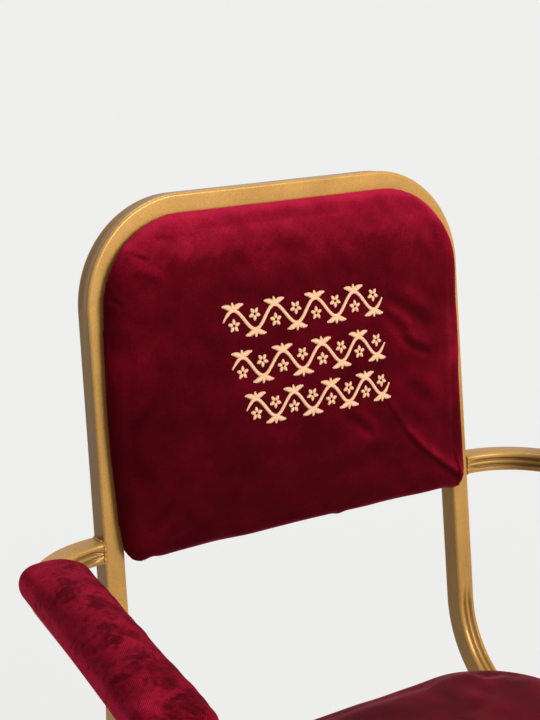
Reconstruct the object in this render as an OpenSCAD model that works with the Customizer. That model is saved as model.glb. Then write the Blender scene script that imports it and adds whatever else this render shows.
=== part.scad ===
// Armchair for prayer rooms: a bent steel tube frame with welded arms and legs,
// and velvet pads on plywood boards for the back, the seat and both arms.
// Millimetres, +Z up, standing on z = 0, facing -Y, centred on x = 0 and y = 0.

/* [Frame tube] */
// Width of the tube across its narrow side
tube_w = 22; // [18:0.5:28]
// Depth of the tube across its wide side
tube_d = 25; // [20:0.5:32]
// Wall thickness of the tube
tube_wall = 1.5; // [1:0.1:2.2]
// Outside radius of the tube's four long edges
tube_edge_r = 2.5; // [2.3:0.1:4]

/* [Back frame] */
// Height of the top of the back above the floor
overall_h = 1000; // [940:5:1100]
// Outside width of the back at the bend into the seat
back_w = 481; // [440:1:540]
// Outward slant of the two uprights towards the seat, in degrees
back_spread = 0.75; // [0:0.05:2]
// Lean of the back from upright, in degrees
recline = 6.4; // [3:0.1:12]
// Outside radius of the two top corners
hoop_r = 111; // [80:1:130]
// Inside radius of the bends from the uprights into the seat rails
seat_bend_r = 110; // [80:1:130]

/* [Seat frame and legs] */
// Height of the top of the seat rails
rail_top_h = 393; // [370:1:420]
// Straight length of each seat rail
rail_len = 290; // [250:1:330]
// Length of rail that belongs to the back tube, up to the butt joint
rail_joint = 30; // [20:1:50]
// Inside radius of the bends from the seat rails into the front legs
front_bend_r = 88; // [70:1:110]
// Forward slant of the front legs, in degrees
front_rake = 4; // [0:0.5:8]
// Backward slant of the rear legs, in degrees
rear_rake = 13; // [8:0.5:16]
// Place of the rear legs round the seat bends, in degrees from straight down
rear_leg_at = 38; // [30:1:44]
// Distance of the rear cross rail from the seat bends
rear_cross_at = 60; // [50:1:90]
// Distance of the front cross rail from the front bends
front_cross_at = 14; // [12:1:40]
// Distance of the seat bolts from the ends of the cross rails
seat_bolt_in = 60; // [30:1:120]
// Length of the sleeve inside each butt joint
sleeve_len = 60; // [40:1:80]
// Wall thickness of a sleeve
sleeve_wall = 1.5; // [1:0.1:2]

/* [Feet] */
// Height of a foot cap up the leg
foot_h = 24; // [18:1:35]
// Thickness of a foot cap under the tube
foot_floor = 6; // [4:0.5:10]
// Wall of a foot cap round the tube
foot_wall = 2; // [1.5:0.1:3]

/* [Arms] */
// Height of the top of the arm tubes
arm_top_h = 661; // [600:1:700]
// Outside radius of the arm tube's bend
arm_bend_r = 115; // [80:1:125]
// Outward splay of the arms, in degrees
arm_splay = 8.4; // [0:0.1:12]
// Straight length of an arm tube after its bend
arm_len = 313; // [280:1:340]
// Distance of an arm post behind the tube's front end, to its middle
post_back = 112; // [80:1:150]
// Outside radius of an arm post's bend
post_bend_r = 112; // [80:1:120]
// Thickness of the lip of the plug in an arm tube's front end
plug_lip = 2.5; // [1.5:0.1:4]
// Depth of that plug inside the tube
plug_depth = 18; // [12:1:30]

/* [Back pad] */
// Distance of the pad's sides inside the outer faces of the uprights, at the seat bends
pad_side_in = 17; // [12:0.5:24]
// Height of the back pad
pad_h = 347; // [320:1:370]
// Distance of the pad's top edge below the top of the frame
pad_drop = 18; // [14:1:30]
// Radius of the pad's two top corners
pad_top_r = 95; // [70:1:100]
// Radius of the pad's two bottom corners
pad_low_r = 24; // [15:1:40]
// Thickness of the back pad at its edge
pad_edge_t = 22; // [20:1:34]
// Extra thickness of the back pad in the middle
pad_crown = 18; // [8:1:24]
// Radius of the back pad's front edge
pad_round = 15; // [8:0.5:16]
// Thickness of the back board
back_board_t = 10; // [8:0.5:11]

/* [Back fixing] */
// Height of the upper tabs below the top of the frame
tab_upper = 150; // [130:1:180]
// Height of the lower tabs below the top of the frame
tab_lower = 310; // [260:1:330]
// Length of a tab inwards from its upright
tab_len = 38; // [36:1:46]
// Height of a tab
tab_h = 28; // [22:1:40]
// Thickness of a tab
tab_t = 3; // [2:0.5:4]
// Distance of a tab's bolt from its upright
tab_bolt_in = 28; // [26:0.5:30]
// Thickness of the rear panel
rear_panel_t = 5; // [3:0.5:8]
// Gap between the rear panel and the tube round it
rear_panel_gap = 1.5; // [1:0.1:3]

/* [Seat cushion] */
// Distance of the cushion's sides inside the outer faces of the seat rails
seat_side_in = 0; // [0:0.5:14]
// Depth of the seat cushion
seat_d = 446; // [400:1:460]
// Distance of the cushion's rear edge behind the middle of the seat bends
seat_back_edge = 54; // [40:1:56]
// Radius of the cushion's two rear corners
seat_back_r = 103; // [70:1:110]
// Radius of the cushion's two front corners
seat_front_r = 60; // [40:1:90]
// Thickness of the cushion at its edge
seat_edge_t = 53; // [38:1:60]
// Extra thickness of the cushion in the middle
seat_crown = 12; // [8:1:26]
// Radius of the cushion's upper edge
seat_round = 19; // [12:0.5:24]
// Thickness of the seat board
seat_board_t = 12; // [9:0.5:15]

/* [Arm pads] */
// Width of an arm pad
arm_pad_w = 67; // [60:1:84]
// Distance of the pad's rear end behind the end of the arm's bend
arm_pad_back = 23; // [20:1:40]
// Distance of the pad's front end in front of the tube's front end
arm_pad_front = 25; // [10:1:40]
// Distance of an arm pad's middle line inwards from the middle of its tube
arm_pad_in = 4.5; // [0:0.5:6]
// Turn of an arm pad outwards from the line of its tube, in degrees
arm_pad_turn = 1; // [0:0.1:1.5]
// Corner radius at both ends of an arm pad
arm_pad_r = 27; // [20:1:29]
// Thickness of an arm pad at its edge
arm_pad_edge_t = 28; // [24:1:34]
// Extra thickness of an arm pad in the middle
arm_pad_crown = 9; // [4:1:14]
// Radius of an arm pad's upper edge
arm_pad_round = 16; // [8:0.5:16]
// Thickness of an arm board
arm_board_t = 9; // [7:0.5:10]
// Distance of an arm pad's rear screw from the end of the arm's bend
arm_screw_rear = 45; // [20:1:60]
// Distance of its front screw from the inner end of the tube's plug
arm_screw_front = 10; // [6:1:40]

/* [Covers] */
// Thickness of the velvet covers
cover_t = 1.2; // [0.8:0.1:2]
// Width of the cover's edge turned in under a board
hem_w = 28; // [20:1:34]
// Width of the hem under an arm pad, which leaves the screws free
arm_hem_w = 16; // [12:1:17]
// Draw-in of a pad's long sides between its corners
side_pull = 1.5; // [0:0.5:4]
// Inward turn of a cover's side where it meets the board's underside
low_edge = 4; // [3:0.5:10]
// Thickness of the cloth under the seat
base_cloth_t = 0.8; // [0.4:0.1:1.1]
// Gap between that cloth and the cover's turned-in edge
base_cloth_gap = 6; // [2:0.5:12]

/* [Fasteners] */
// Diameter of the board bolts
bolt_d = 6; // [5:0.5:8]
// Diameter of a board bolt's round head
bolt_head_d = 12; // [10:0.5:15]
// Height of a board bolt's head
bolt_head_h = 3.2; // [2.5:0.1:4]
// Outside diameter of a washer
washer_d = 16; // [15.5:0.5:20]
// Thickness of a washer
washer_t = 1.2; // [1:0.1:2]
// Diameter of a tee nut's flange
tee_flange_d = 18; // [15:0.5:22]
// Thickness of a tee nut's flange
tee_flange_t = 1.2; // [1:0.1:2]
// Diameter of a tee nut's barrel
tee_barrel_d = 8.4; // [7.6:0.1:10]
// Diameter of the arm pad screws
screw_d = 4.5; // [4:0.5:6]
// Diameter of an arm pad screw's head
screw_head_d = 9; // [8:0.5:11]
// Height of an arm pad screw's head
screw_head_h = 2.6; // [2:0.1:3.5]
// Distance by which bolts and screws stop below the top of a board
bolt_short = 1.5; // [1:0.5:3]
// Gap between pieces that lie on each other or fit in each other
fit_gap = 0.3; // [0.2:0.05:0.4]

/* [Hidden] */
$fn = 64;

gold = "#BC8D4C";
velvet = "#6A0F1E";
foam_yellow = "#E6D9A8";
plywood = "#C9A574";
black_plastic = "#1C1C1C";
zinc = "#B9BCC0";
black_cloth = "#222222";

// Widest reach used by the cutting blocks
far = 2000;

// Lean of the back, and the angle that its bends turn through to the level rails
lean_s = sin(recline);
lean_c = cos(recline);
seat_turn = 90 - recline;

// Along the upright, 0 at the top of the frame: where the seat bend starts
bend_at = (rail_top_h + seat_bend_r * (1 - lean_s) - overall_h) / lean_c;

// Middle of the right top corner across the chair, and the uprights' straight length
hoop_x = half_back(0) + hoop_r * tan(back_spread) - hoop_r / cos(back_spread);
upright_len = (hoop_r * sin(back_spread) - hoop_r - bend_at) / cos(back_spread);

// Across the chair, from front to back, with 0 at the top front edge of the back
bend_y = bend_at * lean_s - seat_bend_r * lean_c;
bend_z = rail_top_h + seat_bend_r;
front_bend_z = rail_top_h - tube_d - front_bend_r;
front_foot_y = bend_y - rail_len - (front_bend_r + tube_d) / cos(front_rake)
    - front_bend_z * tan(front_rake) - foot_wall;
rear_leg_top_r = seat_bend_r + tube_d / 2;
rear_top_y = bend_y + rear_leg_top_r * sin(rear_leg_at);
rear_top_z = bend_z - rear_leg_top_r * cos(rear_leg_at);
rear_foot_y = rear_top_y + rear_top_z * tan(rear_rake)
    + (tube_d / 2 + foot_wall) / cos(rear_rake);
back_rear_y = tube_d * lean_c;
back_y = -(front_foot_y + max(rear_foot_y, back_rear_y)) / 2;

// Height above the floor of a point of the back plane's front face, and back again
function along_back(z) = (z - overall_h) / lean_c;
// Half the outside width of the back at a place along the uprights
function half_back(h) = back_w / 2 - (h - bend_at) * tan(back_spread);

// Arms: start at the upright's outer face, and the middle of their bend
arm_mid_h = arm_top_h - tube_w / 2;
arm_x = half_back(along_back(arm_top_h - tube_w)) + fit_gap / 2;
arm_rear_y = back_y + along_back(arm_mid_h) * lean_s + tube_d * lean_c;
arm_turn_y = arm_rear_y - arm_bend_r;
arm_mid_r = arm_bend_r - tube_d / 2;

// Posts: in line with the middle of the arm tube above them
post_s = arm_len - post_back;
post_x = arm_x + arm_mid_r * cos(arm_splay) + post_s * sin(arm_splay);
post_y = arm_turn_y + arm_mid_r * sin(arm_splay) - post_s * cos(arm_splay);
post_mid_r = post_bend_r - tube_d / 2;
rail_x = back_w / 2 + fit_gap;
rail_mid_z = rail_top_h - tube_d / 2;
post_stub = post_x - post_mid_r - rail_x;

// Pads: heights above the face that a pad lies on
hem_gap = fit_gap;
board_low = hem_gap + cover_t + fit_gap;
seat_mid_y = back_y + bend_y + seat_back_edge - seat_d / 2;
board_inset = low_edge + cover_t + fit_gap + side_pull;
cross_half = back_w / 2 - tube_w - fit_gap * 2;
bolt_hole_d = bolt_d + fit_gap * 2;
rear_cross_y = back_y + bend_y - rear_cross_at;
front_cross_y = back_y + bend_y - rail_len + front_cross_at + tube_w / 2;
seat_bolt_x = cross_half - seat_bolt_in;
arm_screw_end = arm_len - plug_depth - arm_screw_front;
arm_screw_s = [arm_screw_rear, (arm_screw_rear + arm_screw_end) / 2, arm_screw_end];
arm_pad_l = arm_len + arm_pad_back + arm_pad_front;
pad_w = back_w - 2 * pad_side_in;
seat_w = back_w - 2 * seat_side_in;

// Lower curve of a pad's side, as shares of the inward turn: inwards, then upwards
low_curve = [[1, 0], [0.3, 0.45], [0, 1.2]];
// Sizes of the rings over a pad's crown, as shares of its outline
crown_rings = [0.86, 0.68, 0.48, 0.26];

// A rectangle with round corners, from exact pieces
module round_rect(a, b, r) {
    square([a - 2 * r, b], center = true);
    square([a, b - 2 * r], center = true);
    for (x = [-1, 1], y = [-1, 1])
        translate([x * (a / 2 - r), y * (b / 2 - r)])
            circle(r = r, $fn = 32);
}

// The hollow section of the frame tube
module tube_section(a, b) {
    difference() {
        round_rect(a, b, tube_edge_r);
        round_rect(a - 2 * tube_wall, b - 2 * tube_wall, tube_edge_r - tube_wall);
    }
}

// The same section, solid, grown by a margin on every side
module solid_section(a, b, grow = 0) {
    round_rect(a + 2 * grow, b + 2 * grow, tube_edge_r + grow);
}

// A tube runs down -Z with its outer side face on x = 0 and its front face on y = 0
module run(len) {
    translate([-tube_w / 2, tube_d / 2, -len])
        linear_extrude(height = len)
            tube_section(tube_w, tube_d);
}

// A bend of that tube towards -Y, and the place where it ends
module turn(r_in, angle) {
    translate([-tube_w / 2, -r_in, 0])
        rotate([-90, 0, 90])
            rotate_extrude(angle = angle, $fn = 128)
                translate([r_in + tube_d / 2, 0])
                    tube_section(tube_d, tube_w);
}
module past_turn(r_in, angle) {
    translate([0, -r_in, 0])
        rotate([-angle, 0, 0])
            translate([0, r_in, 0])
                children();
}
module past_run(len) {
    translate([0, 0, -len])
        children();
}
// Swaps the tube's front and rear faces, so that a bend goes the other way
module other_way() {
    translate([0, tube_d, 0])
        mirror([0, 1, 0])
            children();
}

// The leaning plane of the back: x across, z along the uprights, y behind the front face
module on_back() {
    translate([0, back_y, overall_h])
        rotate([-recline, 0, 0])
            children();
}
// The right upright, from the end of the top corner down
module on_side() {
    translate([hoop_x, 0, -hoop_r])
        rotate([0, -back_spread, 0])
            translate([hoop_r, 0, 0])
                children();
}
// The right upright, at the start of its seat bend
module on_upright() {
    on_back()
        on_side()
            past_run(upright_len)
                children();
}
// The middle of the right seat bend, with its plane plumb from front to back
module on_bend() {
    on_upright()
        translate([0, -seat_bend_r, 0])
            rotate([recline, 0, 0])
                children();
}
// The right seat rail, at the end of its seat bend
module on_rail() {
    on_bend()
        translate([0, 0, -seat_bend_r])
            rotate([-90, 0, 0])
                children();
}
module both_sides() {
    children();
    mirror([1, 0, 0])
        children();
}
module left_side() {
    mirror([1, 0, 0])
        children();
}
module below(z) {
    translate([-far / 2, -far / 2, z - far])
        cube(far);
}
module above(z) {
    translate([-far / 2, -far / 2, z])
        cube(far);
}

// The arched tube of the back, with its uprights and their bends into the seat rails
module top_half() {
    translate([0, tube_d / 2, -tube_w / 2])
        rotate([90, 0, 90])
            linear_extrude(height = hoop_x)
                tube_section(tube_d, tube_w);
    translate([hoop_x, tube_d / 2, -hoop_r])
        rotate([90, 0, 0])
            rotate([0, 0, 90])
                mirror([0, 1, 0])
                    rotate_extrude(angle = 90 - back_spread, $fn = 128)
                        translate([hoop_r - tube_w / 2, 0])
                            tube_section(tube_w, tube_d);
}
module back_half() {
    top_half();
    on_side()
        run(upright_len);
    on_side()
        past_run(upright_len)
            turn(seat_bend_r, seat_turn);
    on_side()
        past_run(upright_len)
            past_turn(seat_bend_r, seat_turn)
                run(rail_joint);
}
module back_tube() {
    color(gold)
        both_sides()
            on_back()
                back_half();
}

// Seat rail and front leg, one bent tube on each side
module seat_leg_tube() {
    difference() {
        on_rail() {
            past_run(rail_joint + fit_gap / 2)
                run(rail_len - rail_joint - fit_gap / 2);
            past_run(rail_len) {
                other_way()
                    turn(front_bend_r, 90 - front_rake);
                other_way()
                    past_turn(front_bend_r, 90 - front_rake)
                        other_way()
                            run(overall_h / 2);
            }
        }
        below(foot_floor);
    }
}
module seat_leg_tube_right() {
    color(gold)
        seat_leg_tube();
}
module seat_leg_tube_left() {
    color(gold)
        left_side()
            seat_leg_tube();
}
// Sleeves inside the butt joints of the rails
module joint_sleeve() {
    a = tube_w - 2 * tube_wall - fit_gap;
    b = tube_d - 2 * tube_wall - fit_gap;
    on_rail()
        translate([-tube_w / 2, tube_d / 2, -rail_joint - sleeve_len / 2])
            linear_extrude(height = sleeve_len)
                difference() {
                    round_rect(a, b, tube_edge_r - tube_wall);
                    square([a - 2 * sleeve_wall, b - 2 * sleeve_wall], center = true);
                }
}
module joint_sleeves() {
    color(zinc)
        both_sides()
            joint_sleeve();
}

// Rear leg, coped onto the underside of the seat bend
module on_rear_leg() {
    on_bend()
        translate([0, rear_leg_top_r * sin(rear_leg_at), -rear_leg_top_r * cos(rear_leg_at)])
            rotate([rear_rake, 0, 0])
                translate([0, -tube_d / 2, 0])
                    children();
}
module rear_leg() {
    difference() {
        on_rear_leg()
            run(overall_h / 2);
        on_bend()
            rotate([0, 90, 0])
                cylinder(r = seat_bend_r + tube_d + fit_gap / 2, h = far, center = true, $fn = 128);
        below(foot_floor);
    }
}
module rear_leg_right() {
    color(gold)
        rear_leg();
}
module rear_leg_left() {
    color(gold)
        left_side()
            rear_leg();
}

// Cross rails between the two seat rails
module cross_rail(y) {
    difference() {
        translate([-cross_half, y, rail_mid_z])
            rotate([90, 0, 90])
                linear_extrude(height = 2 * cross_half)
                    tube_section(tube_w, tube_d);
        for (x = [-seat_bolt_x, seat_bolt_x])
            translate([x, y, rail_top_h - 2 * tube_d])
                cylinder(d = bolt_hole_d, h = 3 * tube_d);
    }
}
module front_cross_rail() {
    color(gold)
        cross_rail(front_cross_y);
}
module rear_cross_rail() {
    color(gold)
        cross_rail(rear_cross_y);
}

// Foot caps, cut level at the floor
module foot_cap_blank(grow) {
    translate([-tube_w / 2, tube_d / 2, -overall_h / 2])
        linear_extrude(height = overall_h / 2)
            solid_section(tube_w, tube_d, grow);
}
module on_front_leg() {
    on_rail()
        past_run(rail_len)
            other_way()
                past_turn(front_bend_r, 90 - front_rake)
                    other_way()
                        children();
}
module foot_caps_front() {
    color(black_plastic)
        both_sides()
            difference() {
                on_front_leg()
                    foot_cap_blank(foot_wall);
                difference() {
                    on_front_leg()
                        foot_cap_blank(fit_gap / 2);
                    below(foot_floor - fit_gap / 2);
                }
                below(0);
                above(foot_h);
            }
}
module foot_caps_rear() {
    color(black_plastic)
        both_sides()
            difference() {
                on_rear_leg()
                    foot_cap_blank(foot_wall);
                difference() {
                    on_rear_leg()
                        foot_cap_blank(fit_gap / 2);
                    below(foot_floor - fit_gap / 2);
                }
                below(0);
                above(foot_h);
            }
}

// The straight part of the right arm: x across it, y back along it, z = 0 on its top
module on_arm() {
    translate([arm_x, arm_turn_y, arm_top_h])
        rotate([0, 0, arm_splay])
            translate([arm_mid_r, 0, 0])
                children();
}
module arm_screw_bores() {
    on_arm()
        for (s = arm_screw_s)
            translate([0, -s, -2 * tube_w])
                cylinder(d = screw_d + fit_gap * 2, h = 3 * tube_w);
}
module arm_tube() {
    difference() {
        translate([arm_x, arm_turn_y, arm_mid_h])
            rotate([0, 0, arm_splay]) {
                rotate_extrude(angle = 90 - arm_splay, $fn = 128)
                    translate([arm_mid_r, 0])
                        tube_section(tube_d, tube_w);
                translate([arm_mid_r, 0, 0])
                    rotate([90, 0, 0])
                        linear_extrude(height = arm_len)
                            tube_section(tube_d, tube_w);
            }
        arm_screw_bores();
    }
}
module arm_tube_right() {
    color(gold)
        arm_tube();
}
module arm_tube_left() {
    color(gold)
        left_side()
            arm_tube();
}

// Post from the seat rail's side out and up to the underside of the arm
module arm_post() {
    bend_z = rail_mid_z + post_mid_r;
    up_len = arm_top_h - tube_w - fit_gap / 2 - bend_z;
    translate([rail_x + post_stub, post_y, bend_z]) {
        translate([-post_stub, 0, -post_mid_r])
            rotate([90, 0, 90])
                linear_extrude(height = post_stub)
                    tube_section(tube_w, tube_d);
        rotate([90, 0, 0])
            rotate([0, 0, -90])
                rotate_extrude(angle = 90, $fn = 128)
                    translate([post_mid_r, 0])
                        tube_section(tube_d, tube_w);
        translate([post_mid_r, 0, 0])
            linear_extrude(height = up_len)
                tube_section(tube_d, tube_w);
    }
}
module arm_post_right() {
    color(gold)
        arm_post();
}
module arm_post_left() {
    color(gold)
        left_side()
            arm_post();
}

// Plugs that close the front ends of the arm tubes
module arm_end_plugs() {
    color(black_plastic)
        both_sides()
            on_arm()
                translate([0, -arm_len, -tube_w / 2])
                    rotate([90, 0, 0]) {
                        linear_extrude(height = plug_lip)
                            solid_section(tube_d, tube_w);
                        translate([0, 0, -plug_depth])
                            linear_extrude(height = plug_depth)
                                square([tube_d - 2 * tube_wall - 2 * fit_gap,
                                        tube_w - 2 * tube_wall - 2 * fit_gap], center = true);
                    }
}

// Tabs welded inside the uprights, which carry the back board
function tab_places() = [-tab_upper, -tab_lower];
module back_tab(h) {
    inner_x = half_back(h) - tube_w - fit_gap / 2 - tab_h / 2 * tan(back_spread);
    difference() {
        translate([inner_x - tab_len, 0, h - tab_h / 2])
            cube([tab_len, tab_t, tab_h]);
        translate([inner_x - tab_bolt_in, 0, h])
            rotate([90, 0, 0])
                cylinder(d = bolt_hole_d, h = 3 * tab_t, center = true);
    }
}
module back_tabs() {
    color(gold)
        both_sides()
            on_back()
                for (h = tab_places())
                    back_tab(h);
}

// Outline of a pad, counterclockwise: corners as arcs, sides drawn in by a pull
function corner_arc(cx, cy, r, start, n) =
    [for (i = [0:n]) [cx + r * cos(start + 90 * i / n), cy + r * sin(start + 90 * i / n)]];
function side_points(a, b, pull, m) =
    [for (i = [1:m])
        let (t = i / (m + 1), d = b - a, n = [-d[1], d[0]] / norm(d))
            a + d * t + n * min(pull, norm(d) / 40) * sin(180 * t)];
function pad_outline(half_w, half_h, r_far, r_near, pull, n, m) =
    let (
        c1 = corner_arc(half_w - r_far, half_h - r_far, r_far, 0, n),
        c2 = corner_arc(-half_w + r_far, half_h - r_far, r_far, 90, n),
        c3 = corner_arc(-half_w + r_near, -half_h + r_near, r_near, 180, n),
        c4 = corner_arc(half_w - r_near, -half_h + r_near, r_near, 270, n)
    )
    concat(
        c1, side_points(c1[n], c2[0], pull, m),
        c2, side_points(c2[n], c3[0], pull, m),
        c3, side_points(c3[n], c4[0], pull, m),
        c4, side_points(c4[n], c1[0], pull, m)
    );

// A ring of the outline drawn in by an inset and then shrunk towards the middle
function ring(line, half_w, half_h, inset, shrink, z) =
    [for (p = line)
        [p[0] * (half_w - inset) / half_w * shrink, p[1] * (half_h - inset) / half_h * shrink, z]];

// Side view of a pad from the top of its side up to its crown: [inset, shrink, height]
function pad_profile(edge_t, crown, edge_r) =
    let (side_top = edge_t - edge_r, steps = 4)
    concat(
        [for (c = low_curve) [low_edge * c[0], 1, low_edge * c[1]]],
        [for (i = [0:steps])
            [edge_r * (1 - cos(90 * i / steps)), 1, side_top + edge_r * sin(90 * i / steps)]],
        [for (s = crown_rings) [edge_r, s, edge_t + crown * (1 - s * s)]]
    );

// Inset of a pad's side at a height, where its upper edge has begun to turn over
function side_inset(edge_t, edge_r, z) =
    let (rise = max(0, z - edge_t + edge_r) / edge_r)
    edge_r * (1 - sqrt(1 - rise * rise));

// Triangles between rings of n points, with a middle point at the first and last
function band(a, b, n) =
    [for (i = [0:n - 1])
        let (j = (i + 1) % n)
            each [[a + i, a + j, b + j], [a + i, b + j, b + i]]];
function fan_first(n) = [for (i = [0:n - 1]) [0, 1 + (i + 1) % n, 1 + i]];
function fan_last(last, first, n) = [for (i = [0:n - 1]) [last, first + i, first + (i + 1) % n]];
function flat(list) = [for (part = list) each part];

// Closed body: a lower middle point, rings from the lowest to the highest, an upper middle point
module ring_body(rings, low_z, high_z) {
    n = len(rings[0]);
    count = len(rings);
    points = concat([[0, 0, low_z]], flat(rings), [[0, 0, high_z]]);
    faces = concat(
        fan_first(n),
        flat([for (k = [0:count - 2]) band(1 + k * n, 1 + (k + 1) * n, n)]),
        fan_last(1 + count * n, 1 + (count - 1) * n, n)
    );
    polyhedron(points = points, faces = [for (f = faces) [f[2], f[1], f[0]]], convexity = 6);
}

// Half sizes, corner radii, edge thickness, crown, edge rounding, corner and side steps
function seat_form() = [seat_w / 2, seat_d / 2, seat_back_r, seat_front_r, seat_edge_t,
    seat_crown, seat_round, 5, 3];
function back_form() = [pad_w / 2, pad_h / 2, pad_top_r, pad_low_r, pad_edge_t,
    pad_crown, pad_round, 5, 3];
function arm_form() = [arm_pad_w / 2, arm_pad_l / 2, arm_pad_r, arm_pad_r, arm_pad_edge_t,
    arm_pad_crown, arm_pad_round, 3, 2];

function form_outline(f, inset) =
    pad_outline(f[0] - inset, f[1] - inset, f[2] - inset, f[3] - inset, side_pull, f[7], f[8]);
function form_rings(f, inset, from_z) =
    [for (p = pad_profile(f[4] - inset, f[5], f[6]))
        if (p[2] >= from_z)
            ring(form_outline(f, inset), f[0] - inset, f[1] - inset, p[0], p[1], p[2])];
function form_top(f, inset) = f[4] + f[5] - inset;
function turned(rings) = [for (i = [len(rings) - 1:-1:0]) rings[i]];

// Velvet cover: outer skin down to the turned-in hem, then back up inside it
module pad_cover(f, hem) {
    outer = form_rings(f, 0, 0);
    inner = form_rings(f, cover_t, cover_t);
    line = form_outline(f, 0);
    hem_low = ring(line, f[0], f[1], hem, 1, 0);
    hem_high = ring(line, f[0], f[1], hem, 1, cover_t);
    inner_low = ring(form_outline(f, cover_t), f[0] - cover_t, f[1] - cover_t, low_edge, 1, cover_t);
    rings = concat(turned(inner), [inner_low, hem_high, hem_low], outer);
    translate([0, 0, hem_gap])
        ring_body(rings, form_top(f, cover_t), form_top(f, 0));
}

// Foam between the board and the cover
module pad_foam(f, board_t) {
    inset = cover_t + fit_gap;
    z0 = cover_t + board_t + 2 * fit_gap;
    low_inset = side_inset(f[4] - inset, f[6], z0);
    low = ring(form_outline(f, inset), f[0] - inset, f[1] - inset, low_inset, 1, z0);
    rings = concat([low], form_rings(f, inset, z0 + 1));
    translate([0, 0, hem_gap])
        ring_body(rings, z0, form_top(f, inset));
}

// Board under the foam
module board_outline(f) {
    w = f[0] - board_inset;
    h = f[1] - board_inset;
    far_r = f[2] - board_inset;
    near_r = max(f[3] - board_inset, 3);
    polygon([
        [w, h - far_r], [w - far_r, h], [far_r - w, h], [-w, h - far_r],
        [-w, near_r - h], [near_r - w, -h], [w - near_r, -h], [w, near_r - h]
    ]);
    for (x = [-1, 1]) {
        translate([x * (w - far_r), h - far_r])
            circle(r = far_r);
        translate([x * (w - near_r), near_r - h])
            circle(r = near_r, $fn = 32);
    }
}
module pad_board(f, board_t) {
    translate([0, 0, board_low])
        linear_extrude(height = board_t)
            board_outline(f);
}

// A bolt from z = 0 upwards with its head below, a tee nut, and their holes
module bolt(len) {
    cylinder(d = bolt_d, h = len);
    translate([0, 0, -bolt_head_h])
        cylinder(d = bolt_head_d, h = bolt_head_h);
}
module tee_nut(board_t) {
    difference() {
        union() {
            cylinder(d = tee_barrel_d, h = board_t - fit_gap);
            translate([0, 0, board_t - fit_gap - tee_flange_t])
                cylinder(d = tee_flange_d, h = tee_flange_t);
        }
        translate([0, 0, -1])
            cylinder(d = bolt_d + fit_gap, h = board_t + 2);
    }
}
module tee_nut_hole(board_t) {
    translate([0, 0, -1])
        cylinder(d = tee_barrel_d + fit_gap, h = board_t + 2);
    translate([0, 0, board_t - fit_gap - tee_flange_t - fit_gap / 2])
        cylinder(d = tee_flange_d + fit_gap, h = board_t);
}

// The back pad lies on the front face of the back tube
module on_back_pad() {
    on_back()
        translate([0, 0, -pad_drop - pad_h / 2])
            rotate([90, 0, 0])
                children();
}
module at_back_bolts() {
    for (h = tab_places(), side = [-1, 1]) {
        inner_x = half_back(h) - tube_w - fit_gap / 2 - tab_h / 2 * tan(back_spread);
        translate([side * (inner_x - tab_bolt_in), h + pad_drop + pad_h / 2, 0])
            children();
    }
}
module back_board() {
    color(plywood)
        on_back_pad()
            difference() {
                pad_board(back_form(), back_board_t);
                at_back_bolts()
                    translate([0, 0, board_low])
                        tee_nut_hole(back_board_t);
            }
}
module back_foam() {
    color(foam_yellow)
        on_back_pad()
            pad_foam(back_form(), back_board_t);
}
module back_pad_cover() {
    color(velvet)
        on_back_pad()
            pad_cover(back_form(), hem_w);
}
module back_bolts() {
    color(zinc)
        on_back_pad()
            at_back_bolts()
                translate([0, 0, -tab_t - fit_gap / 2])
                    bolt(tab_t + board_low + back_board_t - bolt_short);
}
module back_tee_nuts() {
    color(zinc)
        on_back_pad()
            at_back_bolts()
                translate([0, 0, board_low])
                    tee_nut(back_board_t);
}

// Rear panel, pushed into the opening of the back tube behind the board
module back_rear_panel() {
    gap = rear_panel_gap;
    top = -tube_w - gap;
    low = -pad_drop - pad_h + board_inset;
    r = hoop_r - tube_w - gap;
    half_top = half_back(top - r) - tube_w - gap;
    half_low = half_back(low) - tube_w - gap;
    front = tab_t + bolt_head_h + fit_gap;
    color(velvet)
        on_back()
            translate([0, front + rear_panel_t, 0])
                rotate([90, 0, 0])
                    linear_extrude(height = rear_panel_t) {
                        polygon([
                            [half_top, top - r], [half_top - r, top], [r - half_top, top],
                            [-half_top, top - r], [-half_top, low], [half_top, low]
                        ]);
                        for (x = [-1, 1])
                            translate([x * (half_top - r), top - r])
                                circle(r = r);
                    }
}

// The seat cushion lies on the seat rails
module on_seat() {
    translate([0, seat_mid_y, rail_top_h])
        children();
}
module at_seat_bolts() {
    for (x = [-seat_bolt_x, seat_bolt_x], y = [front_cross_y, rear_cross_y])
        translate([x, y - seat_mid_y, 0])
            children();
}
module seat_board() {
    color(plywood)
        on_seat()
            difference() {
                pad_board(seat_form(), seat_board_t);
                at_seat_bolts()
                    translate([0, 0, board_low])
                        tee_nut_hole(seat_board_t);
            }
}
module seat_foam() {
    color(foam_yellow)
        on_seat()
            pad_foam(seat_form(), seat_board_t);
}
module seat_cover() {
    color(velvet)
        on_seat()
            pad_cover(seat_form(), hem_w);
}
module seat_base_cloth() {
    f = seat_form();
    outline = ring(form_outline(f, 0), f[0], f[1], hem_w + base_cloth_gap, 1, 0);
    color(black_cloth)
        on_seat()
            translate([0, 0, hem_gap])
                linear_extrude(height = base_cloth_t)
                    difference() {
                        polygon([for (p = outline) [p[0], p[1]]]);
                        at_seat_bolts()
                            circle(d = bolt_hole_d);
                    }
}
module seat_bolts() {
    color(zinc)
        on_seat()
            at_seat_bolts()
                translate([0, 0, -tube_d - washer_t - fit_gap])
                    bolt(tube_d + washer_t + board_low + seat_board_t - bolt_short);
}
module seat_washers() {
    color(zinc)
        on_seat()
            at_seat_bolts()
                translate([0, 0, -tube_d - washer_t - fit_gap / 2])
                    difference() {
                        cylinder(d = washer_d, h = washer_t);
                        translate([0, 0, -1])
                            cylinder(d = bolt_hole_d, h = washer_t + 2);
                    }
}
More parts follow.
